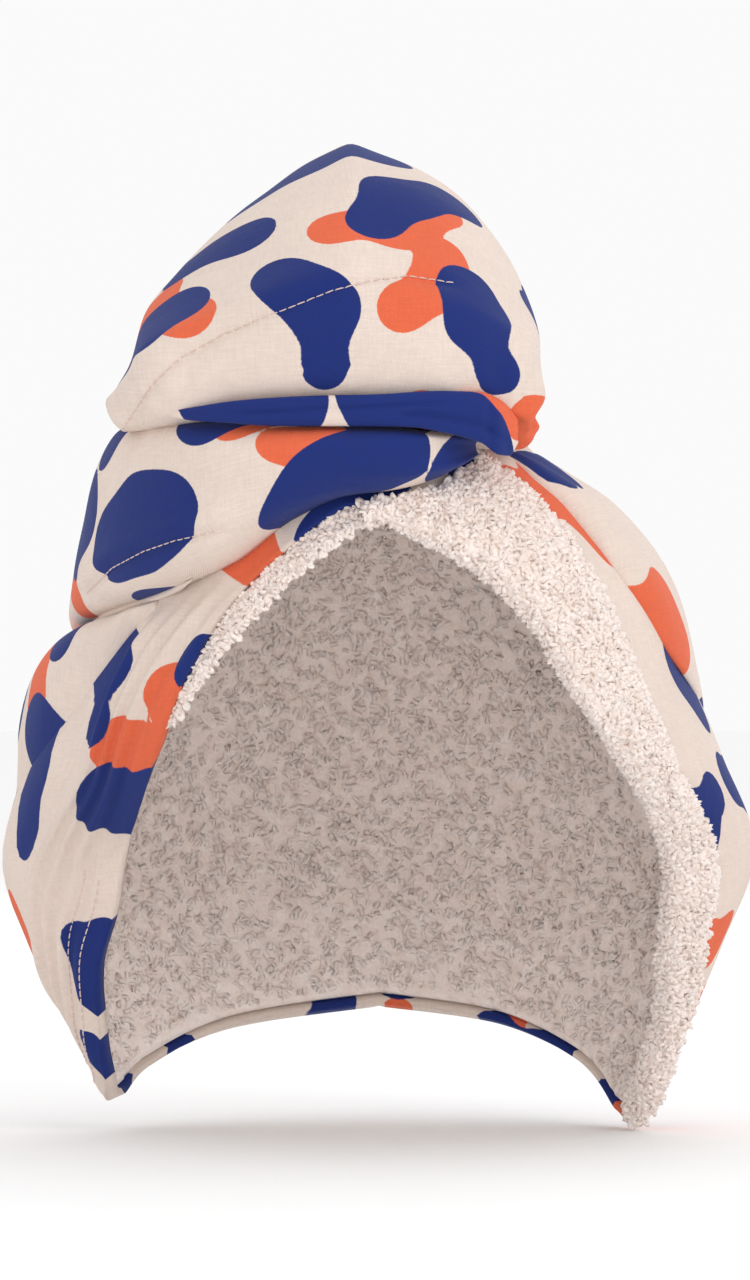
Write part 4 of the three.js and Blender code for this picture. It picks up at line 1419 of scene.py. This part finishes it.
    def tuck(self) -> bpy.types.Object:
        """The narrow roll that is tucked between the front wrap and the tail.

        Returns:
            The object.
        """
        step = np.linspace(0, 1, 190)
        x = lerp(TUCK.key[0], TUCK.key[-1], step)
        row = {name: column[:, None] * MM for name, column in TUCK.at(x).items()}
        angle = np.linspace(-math.pi, math.pi, 57)[None]
        side, high = np.cos(angle), np.sin(angle)
        middle, half = (row["high"] + row["low"]) / 2, (row["high"] - row["low"]) / 2
        z = middle + half * np.sign(high) * np.abs(high) ** 0.8
        thick = row["thick"] / 2
        y = row["front"] + thick - thick * np.sign(side) * np.abs(side) ** 0.7
        face = ramp(side * 2)
        share = (z - row["low"]) / (2 * half)
        run = x[:, None]
        groove = bump(share - 0.34 - 0.05 * np.sin(run / 9), 0.09)
        groove = groove * ramp((run - 2) / 8) * ramp((37 - run) / 5)
        tight = bump(share - 0.62 - 0.004 * run, 0.07) * ramp((run + 44) / 10) * ramp((26 - run) / 14)
        knuckle = np.cos((run - 30) * 1.1) * ramp((run - 26) / 5) * 0.5 * MM
        y = y + face * (1.3 * MM * groove + 0.8 * MM * tight + knuckle)
        outer = np.stack([np.broadcast_to(x[:, None] * MM, y.shape), y, z], -1)
        flat = flat_of(outer, (0.03, 0.09))
        rows, columns = outer.shape[0], outer.shape[1] - 1
        i, j = np.meshgrid(np.arange(rows - 1), np.arange(columns), indexing="ij")
        corners = [(i, j), (i, j + 1), (i + 1, j + 1), (i + 1, j)]
        faces = np.stack([a * columns + b % columns for a, b in corners], -1).reshape(-1, 4)
        places = np.stack([a * (columns + 1) + b for a, b in corners], -1).reshape(-1, 4)
        caps = [[base + k % columns for k in quad] for base, quad in self.rungs(columns, rows)]
        faces = np.concatenate([faces, np.array(caps)])
        places = np.concatenate([places, np.zeros((len(caps), 4), int)])
        points = outer[:, :-1].reshape(-1, 3)
        flat = flat.reshape(-1, 2)[places.ravel()]
        piece = build_object("twist_tuck_cloth", points, faces, flat, self.dense)
        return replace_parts(piece, "twist_tuck")

    def rungs(self, count: int, rows: int) -> list[tuple[int, tuple[int, int, int, int]]]:
        """Rungs that close a tube at its first and last ring.

        Args:
            count: Points of a ring, an even number.
            rows: How many rings the tube has.

        Returns:
            For each rung, its ring's first point and the four corners round the ring.
        """
        found = []
        for k in range(1, count // 2 - 1):
            quad = (k, k + 1, count - k - 1, count - k)
            found.append((0, quad))
            found.append(((rows - 1) * count, quad[::-1]))
        return found

    def rolled_edge(self, wrap: bpy.types.Object) -> bpy.types.Object:
        """The thin rolled edge that shows below the wrap's lower left end.

        Args:
            wrap: The front wrap.

        Returns:
            The object.
        """
        line = ((-82.5, -54.5), (-77, -51.5), (-70, -49.5), (-62, -46.5), (-54, -42.5))
        points, normals = sighted(wrap, line)
        count = len(points)
        way = np.linspace(-1, 1, count)
        smooth = np.stack([np.polyval(np.polyfit(way, points[:, k], 3), way) for k in range(3)], -1)
        normals = unit(normals.mean(0) + 0 * smooth)
        path = smooth + normals * 0.5 * MM
        radii = 1.0 * MM * np.clip(np.sin(np.linspace(0.04, 0.98, count) * math.pi) * 2.2, 0.12, 1)
        shape, faces = tube(path, unit(np.cross(np.gradient(path, axis=0), normals)), radii, 12)
        flat = np.zeros((faces.size, 2))
        bare = Dress(self.cloth.material, Slot.PRINT, PebblePrint(rows=0))
        return build_object("wrap_rolled_edge", shape, faces, flat, bare)

    def build(self) -> dict[str, bpy.types.Object]:
        """Makes the four folds.

        Returns:
            The objects by the node that they stand for.
        """
        full, slip = self.shoulder_rise, (-0.025, 0.035)
        shoulder = self.hood_fold("shoulder_fold", SHOULDER_FOLD, full, 0.75, slip, 31)
        side = self.hood_fold("side_fold", SIDE_FOLD, self.side_rise, 1.8, (0.02, 0.03), 32)
        return {
            "shoulder_fold": shoulder,
            "side_fold": side,
            "front_wrap": self.front_wrap(),
            "twist_tuck": self.tuck(),
        }


@dataclass
class Cuff:
    """The turned-back terry along the wearer's left-hand hem, and the pile on all the terry that shows."""

    terry: Dress
    width: float = 38 * MM
    wall: float = 3.4 * MM
    roll: float = 2.6 * MM
    deep: float = 4.3 * MM
    clear: float = 0.012
    inner_part: float = 0.12
    turned_part: float = 0.28
    outer_start: float = 0.4
    outer_part: float = 0.6
    face: Array = field(init=False)

    def build(self) -> bpy.types.Object:
        """Makes the cuff's cloth and keeps its face for the pile.

        Returns:
            The object.
        """
        crown = np.linspace(CUFF.key[0], CUFF.key[-1], 240)
        row = CUFF.at(crown)
        steps = np.linspace(0, 1, 120)[None] * (row["width"] * self.width)[:, None]
        turn, drop = FORM.column(crown[:, None], FORM.shares(crown, steps))
        under = (turn <= 32) & (drop <= FRONT_WRAP.at(turn)["low"] + self.clear)
        far = np.where(under, 1e9, 0).cumsum(1)
        far = np.where(far > 0, 0, steps).max(1)
        far = np.maximum(far, 2 * MM)
        t = np.linspace(0, 1, 48)[None]
        thick = (row["rise"] * self.wall)[:, None] + 0.5 * MM
        inward = (4 * MM * (1 - np.clip(t / self.inner_part, 0, 1))) * np.ones_like(thick)
        half_turn = np.clip((t - self.inner_part) / self.turned_part, 0, 1) * math.pi
        onward = np.clip((t - self.outer_start) / self.outer_part, 0, 1)
        grids = []
        for past, top, under in ((self.roll, thick, self.deep + 0.6 * MM), (0.4 * MM, 0.35 * MM, self.deep)):
            fall = 1 - 0.7 * onward**5 if past == self.roll else 1
            length = inward - past * np.sin(half_turn) + far[:, None] * onward
            lift = (top - under) / 2 - (top + under) / 2 * np.cos(half_turn)
            lift = np.where(onward > 0, top * fall, lift)
            turn, drop = FORM.column(crown[:, None], FORM.shares(crown, length))
            nubs = 0.35 * MM * Ripples(4, 6 * MM, 1.0, 24).at(turn * DEGREE * 0.1, drop * FORM.length)
            grids.append(FORM.off(turn, drop, lift + (nubs if past == self.roll else 0)))
        self.face, inner = grids
        flat = np.zeros((*turn.shape, 2))
        piece = Wall(self.face, inner, flat).build("terry_cuff_cloth", self.terry)
        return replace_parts(piece, "terry_cuff")


@dataclass
class Tail:
    """The hollow tail: a mound over the forehead that is laid back and twisted down to the nape."""

    cloth: Dress
    rise: float = 80 * MM
    left: float = 69 * MM
    right: float = 54 * MM
    wall: float = 2.4 * MM
    sag: float = 40 * MM
    settle: float = 7 * MM
    rest: float = 0.8 * MM
    front_end: float = 10 * MM
    wrap_end: float = 75 * MM
    fade: float = 30 * MM
    fan_front: float = 30.0
    fan_tip: float = 216.6
    pivot_back: float = 5 * MM
    pivot_drop: float = 60 * MM
    furrow_depth: float = 0.26
    furrows: int = 3
    furrow_turns: float = 1.6
    tucked: float = 3.2 * MM
    roll_height: float = 10 * MM
    roll_depth: float = 7 * MM
    around: int = 200
    sections: int = 200
    seam: tuple[tuple[float, float], ...] = (
        (-75.1, -0.4),
        (-65.8, 13.8),
        (-57.7, 21.4),
        (-44.7, 28.6),
        (-34.5, 32.7),
        (-24.1, 36.7),
        (-13.9, 40.8),
        (-1.7, 44.0),
        (8.4, 45.2),
        (22.0, 43.1),
    )

    def hood_reach(self, fan: Array, x: Array) -> Array:
        """Distances from the pivot to the hood's outside.

        Args:
            fan: Angles above the forward horizontal, in degrees.
            x: Places across.

        Returns:
            Distances in the fan's planes.
        """
        forward, up = np.cos(fan * DEGREE), np.sin(fan * DEGREE)
        inside = np.zeros(x.shape)
        outside = np.full(x.shape, 2 * FORM.back)
        for _ in range(20):
            reach = (inside + outside) / 2
            z = reach * up - self.pivot_drop
            y = self.pivot_back - reach * forward
            row = SECTIONS.at((FORM.crown - z) / FORM.length)
            middle = row["middle"] * FORM.back
            half = np.where(x > 0, row["right"], row["left"]) * FORM.half_width
            ahead, behind = middle + row["front"] * FORM.front, row["back"] * FORM.back - middle
            depth = np.where(y < middle, ahead, behind)
            within = ((x / half) ** 2 + ((y - middle) / depth) ** 2 < 1) & (z <= FORM.crown)
            inside = np.where(within, reach, inside)
            outside = np.where(within, outside, reach)
        return inside

    def skin(self) -> tuple[Array, Array]:
        """The tail's outside.

        Returns:
            A grid of points, rows round the tail and columns from the forehead to the nape, and the
            shares of the way that each column lies at.
        """
        share = np.linspace(0, 1, self.sections) ** 1.3
        fan = lerp(self.fan_front, self.fan_tip, share)[None]
        row = {name: column[None] for name, column in TAIL.at(share).items()}
        angle = np.linspace(-math.pi, math.pi, 2 * self.around, endpoint=False)[:, None]
        side, high = np.sin(angle), np.cos(angle)
        forward, up = np.cos(fan * DEGREE), np.sin(fan * DEGREE)
        floor = self.hood_reach(fan, 0 * fan) + self.rest
        rise = row["rise"] * self.rise
        under = lerp(np.minimum(0.1 * rise, 4 * MM), 0.45 * rise, row["round"])
        level = floor + under
        top = floor + rise - level
        twist = fan / 200 * self.furrow_turns * 2 * math.pi
        wave = 0.5 + 0.5 * np.cos(self.furrows * angle + twist)
        groove = wave**1.6 * row["furrow"] * self.furrow_depth
        fine = 0.03 * np.cos(8 * angle + 2.4 * twist + 0.6 * np.sin(3 * angle)) * ramp(row["round"] * 1.5)
        furrow = 1 - groove + fine
        half = np.where(side > 0, row["right"] * self.right, row["left"] * self.left)
        shape = TAIL_OUTLINE.at(np.maximum(high, 0))
        crest = np.where(side > 0, shape["right"], -shape["left"])
        belly = np.sign(side) * np.abs(side) ** lerp(0.7, 0.8, row["round"])
        across = np.where(high > 0, lerp(crest, side, row["round"]), belly)
        x = row["shift"] * self.right + half * across * furrow
        hang = lerp(self.sag, under + self.settle, row["round"]) * high
        height = np.where(high > 0, top * high * furrow, hang)
        reach = np.maximum(self.hood_reach(fan + 0 * x, x) + self.rest, level + height)
        points = np.stack([x, self.pivot_back - reach * forward, reach * up - self.pivot_drop], -1)
        crease = FORM.height(CREASE.at(x / FORM.half_width)["tail"]) - self.tucked
        beside = np.clip((-0.35 - x / FORM.half_width) / 0.2, 0, 1)
        over = beside * np.clip((self.wrap_end - points[..., 1]) / self.fade, 0, 1)
        from_front = np.maximum(np.clip((self.front_end - points[..., 1]) / self.fade, 0, 1), over)
        below = (points[..., 2] < crease) & (from_front > 0.5) & (high > 0)
        points[..., 2] = lerp(points[..., 2], np.maximum(points[..., 2], crease), from_front)
        keep = ~below[self.around]
        points = self.cut(points[:, keep], below[:, keep])
        return self.even(points, share[keep]), share[keep]

    def cut(self, points: Array, below: Array) -> Array:
        """Ends each section's sides where they reach the crease.

        Args:
            points: The grid of points, rows round the tail, the ridge on the middle row.
            below: Which points of the sides lay below the crease.

        Returns:
            The grid, its points below the crease drawn in under the sides.
        """
        ridge = self.around
        for order in (np.arange(ridge, 2 * ridge), np.arange(ridge, -1, -1)):
            for j in range(points.shape[1]):
                under = np.flatnonzero(below[order, j])
                if len(under) == 0:
                    continue
                edge = points[order[under[0] - 1], j]
                rest = order[under[0]:]
                side = 1 if order[-1] > ridge else -1
                points[rest, j, 0] = side * np.minimum(side * points[rest, j, 0], side * edge[0])
                wall = rest[: len(under)]
                points[wall, j] = edge
        return points

    def even(self, dense: Array, share: Array) -> Array:
        """Spaces each section's points evenly round it, lays them flat and rounds off hard corners.

        Args:
            dense: The grid of points, rows round the tail.
            share: The share of the way that each column lies at.

        Returns:
            A grid with the tail's own number of rows.
        """
        closed = np.concatenate([dense, dense[:1]])
        legs = np.linalg.norm(np.diff(closed, axis=0), axis=-1)
        gone = np.concatenate([np.zeros((1, dense.shape[1])), np.cumsum(legs, axis=0)])
        points = np.empty((self.around, dense.shape[1], 3))
        across = np.empty((self.around + 1, dense.shape[1]))
        for j in range(dense.shape[1]):
            steps = np.linspace(0, gone[-1, j], self.around + 1)
            across[:, j] = steps - gone[self.around, j]
            for k in range(3):
                points[:, j, k] = np.interp(steps[:-1], gone[:, j], closed[:, j, k])
        ridge = dense[self.around]
        along = np.concatenate([[0], np.cumsum(np.linalg.norm(np.diff(ridge, axis=0), axis=-1))])
        facing = ramp((80 - lerp(self.fan_front, self.fan_tip, share)) / 40)[None]
        shut = np.concatenate([points, points[:1]])
        u = lerp(across, shut[..., 0], facing) + 0.06 * ramp((share - 0.35) / 0.5)[None]
        v = along[None] - facing * (ridge[None, :, 2] - shut[..., 2])
        self.flat = np.stack([u + 0.02, v + 0.07], -1)
        for _ in range(4):
            beside = (np.roll(points, 1, 0) + np.roll(points, -1, 0)) / 2
            along = points.copy()
            along[:, 1:-1] = (points[:, 2:] + points[:, :-2]) / 2
            points = lerp(points, (beside + along) / 2, 0.5)
        return points

    def rolled(self, points: Array) -> Array:
        """Rolls the mound's lower edge under, behind the tuck and the front wrap.

        Args:
            points: The grid of points.

        Returns:
            The grid with its lower edge drawn in.
        """
        crease = FORM.height(CREASE.at(points[..., 0] / FORM.half_width)["tail"]) - self.tucked
        deep = np.clip(1 - (points[..., 2] - crease) / self.roll_height, 0, 1)
        inward = np.array([-8 * MM, -30 * MM]) - points[..., :2]
        far = np.linalg.norm(inward, axis=-1)
        fade = ramp((20 * MM - points[..., 1]) / (30 * MM)) * ramp(far / (40 * MM))
        pull = self.roll_depth * (1 - np.sqrt(1 - deep**2)) * fade
        moved = points.copy()
        moved[..., :2] += inward / np.maximum(far, MM)[..., None] * pull[..., None]
        return moved

    def relief(self, points: Array, share: Array) -> Array:
        """How far the cloth stands off its smooth form: the seam's valley, pinches and soft waves.

        Args:
            points: The grid of points.
            share: The share of the way that each column lies at.

        Returns:
            Heights in metres.
        """
        places = SIGHT.project(points)
        facing = ramp((20 * MM - points[..., 1]) / (30 * MM)) * ramp((0.4 - share) / 0.2)
        high, along = along_line(places, self.seam)
        shown = ramp((along + 0.03) / 0.06) * ramp((1.05 - along) / 0.12) * facing
        valley = -1.3 * MM * bump(high, 1.3 * MM) + 0.9 * MM * bump(high - 5 * MM, 5 * MM)
        below = 1.6 * MM * bump(high + 7 * MM, 5 * MM)
        below = below * ramp((along - 0.72) / 0.2) * ramp((1.12 - along) / 0.1)
        right = 1.5 * MM * pinch(places, (42.0, -5.0), 26 * MM, 13)
        left = 1.1 * MM * pinch(places, (-54.8, 2.0), 18 * MM, 8)
        waves = 1.0 * MM * Ripples(8, 55 * MM, 1.3).at(places[..., 0], places[..., 1] * 1.0)
        crease = FORM.height(CREASE.at(points[..., 0] / FORM.half_width)["tail"]) - self.tucked
        above = ramp((points[..., 2] - crease - 3 * MM) / (9 * MM))
        return (valley + below) * shown + (right + left) * facing * above + waves * ramp((0.5 - share) / 0.3)

    def build(self) -> bpy.types.Object:
        """Makes the tail as a thick skin with a mouth below.

        Returns:
            The object.
        """
        points, share = self.skin()
        around = np.roll(points, -1, 0) - np.roll(points, 1, 0)
        down = np.gradient(points, axis=1)
        normal = unit(np.cross(around, down))
        lift = self.relief(points, share[None]) * ramp(points[..., 2] / (6 * MM) + 1)
        points = points + normal * lift[..., None]
        points = self.rolled(points)
        rows, columns = points.shape[:2]
        i, j = np.meshgrid(np.arange(rows), np.arange(columns - 1), indexing="ij")
        corners = [(i, j), (i + 1, j), (i + 1, j + 1), (i, j + 1)]
        faces = np.stack([(a % rows) * columns + b for a, b in corners], -1).reshape(-1, 4)
        places = np.stack([a * columns + b for a, b in corners], -1).reshape(-1, 4)
        centre = points.reshape(-1, 3)[faces].mean(1)
        mouth = SECTIONS.at(0.0)
        front, back = -mouth["front"] * FORM.front, mouth["back"] * FORM.back
        half, depth = mouth["right"] * FORM.half_width, (back - front) / 2
        away = (centre[:, 0] / half) ** 2 + ((centre[:, 1] - (front + back) / 2) / depth) ** 2
        open_way = (away < 1) & (centre[:, 2] < 14 * MM)
        faces, places = faces[~open_way], places[~open_way]
        caps, spots = [], []
        middle = rows // 4
        for column, order in ((0, (0, 1, 2, 3)), (columns - 1, (0, 3, 2, 1))):
            for k in range(rows // 2):
                steps = (-k, k, k + 1, -k - 1)
                rung = [(middle + step) % rows for step in steps]
                quad = [rung[n] for n in order]
                if len(set(quad)) == 4:
                    caps.append([r * columns + column for r in quad])
                    spots.append([r * columns + column for r in quad])
        faces = np.concatenate([faces, np.array(caps)])
        places = np.concatenate([places, np.array(spots)])
        flat = self.flat.reshape(-1, 2)[places.ravel()]
        piece = build_object("twisted_tail_cloth", points.reshape(-1, 3), faces, flat, self.cloth)
        thicken(piece, self.wall)
        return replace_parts(piece, "twisted_tail")


def thicken(piece: bpy.types.Object, wall: float) -> None:
    """Gives a skin its thickness on the inside and keeps the result as its mesh.

    Args:
        piece: The skin.
        wall: The thickness.
    """
    modifier = piece.modifiers.new("wall", "SOLIDIFY")
    modifier.thickness = wall
    modifier.offset = -1
    graph = bpy.context.evaluated_depsgraph_get()
    mesh = bpy.data.meshes.new_from_object(piece.evaluated_get(graph))
    piece.modifiers.clear()
    piece.data = mesh


@dataclass
class Fastening:
    """The button at the nape and the elastic loop that is hooked on it."""

    resin: Dress
    elastic: Dress
    turn: float = 180.0
    drop: float = 0.765
    radius: float = 11 * MM
    thick: float = 4 * MM
    shank: float = 3.5 * MM
    stem: float = 4.4 * MM
    loop: float = 3 * MM
    reach: float = 15 * MM

    def place(self, points: Array, lift: float) -> Array:
        """Stands points that were made along +Z, with +Y up, on the nape.

        Args:
            points: The points.
            lift: How far off the cloth they stand.

        Returns:
            The points in the towel's frame.
        """
        normal = FORM.normal(self.turn, self.drop)
        across = unit(np.cross([0, 0, 1], normal))
        upward = np.cross(normal, across)
        start = FORM.point(self.turn, self.drop) + normal * (0.4 * MM + lift)
        return start + points @ np.stack([across, upward, normal])

    def button(self) -> bpy.types.Object:
        """A round button with a soft rim and a dished middle, on its shank.

        Returns:
            The object.
        """
        top = self.stem + self.thick
        edge = self.radius
        corner = np.linspace(-math.pi / 2, math.pi / 2, 9)
        rim = self.thick / 2
        profile = [(0, 0), (self.shank, 0), (self.shank, self.stem * 0.9), (self.shank * 1.25, self.stem)]
        profile += [(edge - rim + rim * math.cos(a), self.stem + rim + rim * math.sin(a)) for a in corner]
        profile += [(edge - 1.35 * rim, top - 0.25 * MM), (edge - 1.7 * rim, top - 0.9 * MM)]
        profile += [(edge * 0.5, top - 1.05 * MM), (edge * 0.2, top - 1.1 * MM), (0, top - 1.1 * MM)]
        line = np.array(profile)
        sides = 72
        angle = np.arange(sides) * 2 * math.pi / sides
        ring = np.stack([np.cos(angle), np.sin(angle)], -1)
        radial = line[:, 0][:, None, None] * ring[None]
        level = np.broadcast_to(line[:, 1][:, None, None], (len(line), sides, 1))
        points = np.concatenate([radial, level], -1)
        i, k = np.meshgrid(np.arange(len(line) - 1), np.arange(sides), indexing="ij")
        n = (k + 1) % sides
        faces = np.stack([i * sides + k, i * sides + n, (i + 1) * sides + n, (i + 1) * sides + k], -1)
        faces = faces.reshape(-1, 4)
        piece = build_object(
            "nape_button", self.place(points.reshape(-1, 3), 0), faces, np.zeros((faces.size, 2)), self.resin
        )
        weld(piece)
        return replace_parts(piece, "button")

    def elastic_loop(self) -> bpy.types.Object:
        """A braided elastic round the shank, up to the tail's tip.

        Returns:
            The object.
        """
        turn = self.shank + 0.4 * MM + self.loop / 2
        t = np.linspace(0, 1, 181)
        bend = np.clip((t - 0.32) / 0.36, 0, 1)
        x = -turn * np.cos(math.pi * bend)
        x = x * (1 - 0.35 * ramp(np.abs(t - 0.5) / 0.5 - 0.3))
        y = np.where(t < 0.5, lerp(0, self.reach, (0.32 - t) / 0.32), lerp(0, self.reach, (t - 0.68) / 0.32))
        y = np.maximum(y, 0) - turn * np.sin(math.pi * bend)
        path = np.stack([x, y, 0 * t], -1)
        shape, faces = tube(path, np.array([0.0, 0.0, 1.0]), np.full(len(t), self.loop / 2), 24)
        ring = shape.reshape(len(t), 24, 3)
        angle = np.arange(24) * 2 * math.pi / 24
        wave = np.cos(4 * angle[None] + t[:, None] * 120) * np.cos(4 * angle[None] - t[:, None] * 120)
        ring = path[:, None] + (ring - path[:, None]) * (1 - 0.09 * (0.5 + 0.5 * wave))[..., None]
        points = self.place(ring.reshape(-1, 3), self.loop / 2 + 0.4 * MM)
        caps = [[row * 24 + k for k in (a, b, c, d)] for row, a, b, c, d in self.ends(len(t) - 1)]
        faces = np.concatenate([faces, np.array(caps)])
        piece = build_object("nape_loop", points, faces, np.zeros((faces.size, 2)), self.elastic)
        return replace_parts(piece, "elastic_loop")

    def ends(self, last: int) -> list[tuple[int, int, int, int, int]]:
        """Rungs that close a tube of 24 sides at its first and last ring.

        Args:
            last: The last ring's number.

        Returns:
            For each rung, its ring's number and the four corners round the ring.
        """
        rungs = []
        for k in range(11):
            quad = (-k % 24, k + 1, k + 2, (-k - 1) % 24)
            rungs.append((0, *quad))
            rungs.append((last, *quad[::-1]))
        return rungs


def weld(piece: bpy.types.Object) -> None:
    """Merges points that lie on each other.

    Args:
        piece: The piece whose mesh is mended.
    """
    mesh = piece.data
    shape = bmesh.new()
    shape.from_mesh(mesh)
    bmesh.ops.remove_doubles(shape, verts=shape.verts, dist=1e-6)
    shape.to_mesh(mesh)
    shape.free()


@dataclass
class Studio:
    """A pale floor with soft lights and a pale sky."""

    floor: float = -205.6 * MM
    reach: float = 9.0
    sides: int = 96
    sky: float = 0.96
    lights: tuple[tuple[str, tuple[float, float, float], float, float, tuple[float, float, float]], ...] = (
        ("key", (1.1, -1.4, 0.8), 0.9, 6.0, (1.0, 1.0, 1.0)),
        ("fill", (-1.4, -1.3, 0.3), 1.3, 0.6, (1.0, 0.86, 0.78)),
        ("low", (0.1, -1.7, -0.12), 0.5, 2.6, (1.0, 0.95, 0.92)),
        ("top", (0.2, -0.1, 1.6), 1.2, 1.5, (1.0, 1.0, 1.0)),
        ("rear", (0.4, 1.6, 0.7), 1.3, 2.5, (1.0, 1.0, 1.0)),
    )

    def build(self) -> None:
        """Makes the floor, the lights and the world."""
        angle = np.arange(self.sides) * 2 * math.pi / self.sides
        rim = [(self.reach * math.cos(a), self.reach * math.sin(a), self.floor) for a in angle]
        mesh = bpy.data.meshes.new("floor")
        mesh.from_pydata(rim, [], [list(range(self.sides))])
        shader = Shader("pale_floor")
        place = shader.node("TexCoord").outputs["Object"]
        grain = shader.mix(shader.noise(place, 30.0), linear("fafafa"), linear("fdfdfd"))
        shader.plug(shader.surface.inputs["Base Color"], grain)
        shader.surface.inputs["Roughness"].default_value = 0.9
        mesh.materials.append(shader.material)
        floor = bpy.data.objects.new("floor", mesh)
        bpy.context.scene.collection.objects.link(floor)
        for name, place, size, power, tint in self.lights:
            data = bpy.data.lights.new(name, "AREA")
            data.shape, data.size, data.energy, data.color = "DISK", size, power, tint
            lamp = bpy.data.objects.new(name, data)
            lamp.location = place
            lamp.rotation_euler = (Vector((0, 0, -0.06)) - Vector(place)).to_track_quat("-Z", "Y").to_euler()
            bpy.context.scene.collection.objects.link(lamp)
        bpy.context.scene.view_settings.view_transform = "Standard"
        world = bpy.data.worlds.new("studio")
        world.use_nodes = True
        background = world.node_tree.nodes["Background"]
        background.inputs["Color"].default_value = (1, 1, 1, 1)
        background.inputs["Strength"].default_value = self.sky
        bpy.context.scene.world = world


@dataclass(frozen=True)
class Sheet:
    """The flat cut of one piece of cloth and how it is held."""

    node: str
    flat: tuple[float, float]
    area: float
    held: Held
    rests_on: tuple[str, ...]

    def declare(self, pieces: dict[str, bpy.types.Object]) -> None:
        """Does nothing; the piece's flat size is not passed on."""


SHEETS = (
    Sheet("hood", (0.6, 0.24), 0.098, Held.STRETCHED, ("terry_lining",)),
    Sheet("terry_lining", (0.58, 0.23), 0.092, Held.STRETCHED, ("hood",)),
    Sheet("terry_cuff", (0.19, 0.05), 0.0078, Held.FOLDED, ("hood",)),
    Sheet("shoulder_fold", (0.22, 0.075), 0.0135, Held.FOLDED, ("hood",)),
    Sheet("side_fold", (0.2, 0.06), 0.0088, Held.FOLDED, ("hood",)),
    Sheet("front_wrap", (0.27, 0.085), 0.018, Held.GATHERED, ("hood",)),
    Sheet("twist_tuck", (0.1, 0.014), 0.0013, Held.GATHERED, ("front_wrap",)),
    Sheet("twisted_tail", (0.42, 0.24), 0.078, Held.GATHERED, ("hood",)),
)


@dataclass
class Turban:
    """The whole towel, dressed."""

    print_dress: Dress
    dense_dress: Dress
    terry_dress: Dress
    thread_dress: Dress
    elastic_dress: Dress
    resin_dress: Dress
    hem_stitches: tuple[float, float] = (5.8 * MM, 11.3 * MM)
    cuff_loops: int = 5400
    lining_loops: int = 15200
    edge_loops: int = 1300
    seen_below: float = -22 * MM
    built: dict[str, bpy.types.Object] = field(default_factory=dict)

    def build(self) -> None:
        hood = Hood(self.print_dress, self.terry_dress)
        cuff = Cuff(self.terry_dress)
        tail = Tail(self.print_dress)
        folds = Folds(self.print_dress, self.dense_dress)
        hood_cloth, lining = hood.build()
        folded = folds.build()
        cuff_cloth = cuff.build()
        tail_cloth = tail.build()
        fastening = Fastening(self.resin_dress, self.elastic_dress)
        fastening.button()
        fastening.elastic_loop()
        self.built = {"hood": hood_cloth, "terry_lining": lining, **folded}
        self.built.update({"terry_cuff": cuff_cloth, "twisted_tail": tail_cloth})
        self.sew(hood, folds, tail)
        folds.rolled_edge(folded["front_wrap"])
        self.pile(hood, cuff)
        for sheet in SHEETS:
            sheet.declare(self.built)

    def sew(self, hood: Hood, folds: Folds, tail: Tail) -> None:
        """Sews the rows of stitches that the photographed towel shows.

        Args:
            hood: Has the hem.
            folds: Has the seam on the front wrap.
            tail: Has the seam on the mound.
        """
        stitches = Stitching(self.thread_dress)
        stitches.build("mound_topstitch", [sighted(self.built["twisted_tail"], tail.seam)])
        stitches.build("wrap_topstitch", [sighted(self.built["front_wrap"], folds.seam)])
        near, far = self.hem_stitches
        rows = [hood.line(above, (-178, -84)) for above in (near, far)]
        rows.append(hood.line(near, (122, 178)))
        stitches.build("hem_topstitch", rows)

    def pile(self, hood: Hood, cuff: Cuff) -> None:
        """Sets the terry's loops on the cuff, the lining's edge and the lining.

        Args:
            hood: Has the lining.
            cuff: Has the cuff's face.
        """
        fine = Pile(self.terry_dress)
        fine.build("cuff_pile", *Surface(cuff.face).scatter(self.cuff_loops, 41), seed=42)
        face = np.concatenate([hood.face, hood.face[:1]])[::-1]
        coarse = Pile(self.terry_dress, 1.2 * MM, 1.1 * MM, 0.8 * MM, 2, 3)
        weight = np.where(face[1:, 1:, 2] < self.seen_below, 1.0, 0.1)
        weight[:, :1] = 0
        coarse.build("lining_pile", *Surface(face).scatter(self.lining_loops, 43, weight), seed=44)
        crown = np.linspace(-180, 180, len(hood.edge), endpoint=False)
        columns = (HEM.at(crown)["peek"] > 0.02).nonzero()[0]
        strip = hood.edge[columns[0] : columns[-1] + 1, :5]
        places, normals = Surface(strip).scatter(self.edge_loops, 45)
        rim = strip[:, 0] + np.random.default_rng(46).uniform(-0.3, 0.6, strip[:, 0].shape) * MM
        inward = unit(strip[:, 0] - strip[:, 1])
        rim = np.concatenate([rim + inward * shift * MM for shift in (-0.3, 0.2, 0.6)])
        places = np.concatenate([places, rim])
        normals = np.concatenate([normals, np.tile(inward, (3, 1)) + 0.5 * unit(normals.mean(0))])
        fine.build("edge_pile", places, unit(normals), seed=47)


def main() -> None:
    """Builds the towel and its studio round the frame."""
    logging.basicConfig(level=logging.INFO, format="%(name)s: %(message)s")
    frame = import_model()
    LOG.info("dressing %d solids", len(frame["nodes"]))
    SIGHT.camera()
    Studio().build()
    cotton = PrintedFinish().material()
    turban = Turban(
        Dress(cotton, Slot.PRINT, PebblePrint()),
        Dress(cotton, Slot.PRINT, PebblePrint(7, 5 * MM)),
        Dress(TerryFinish().material(), Slot.TERRY),
        Dress(StrandFinish("pale_thread", "ecd8d0", "c9a79c").material(), Slot.PRINT),
        Dress(StrandFinish("braided_elastic", "ebddd2", "c4aa9a").material(), Slot.ELASTIC),
        Dress(ResinFinish().material(), Slot.BUTTON),
    )
    turban.build()


if __name__ == "__main__":
    main()
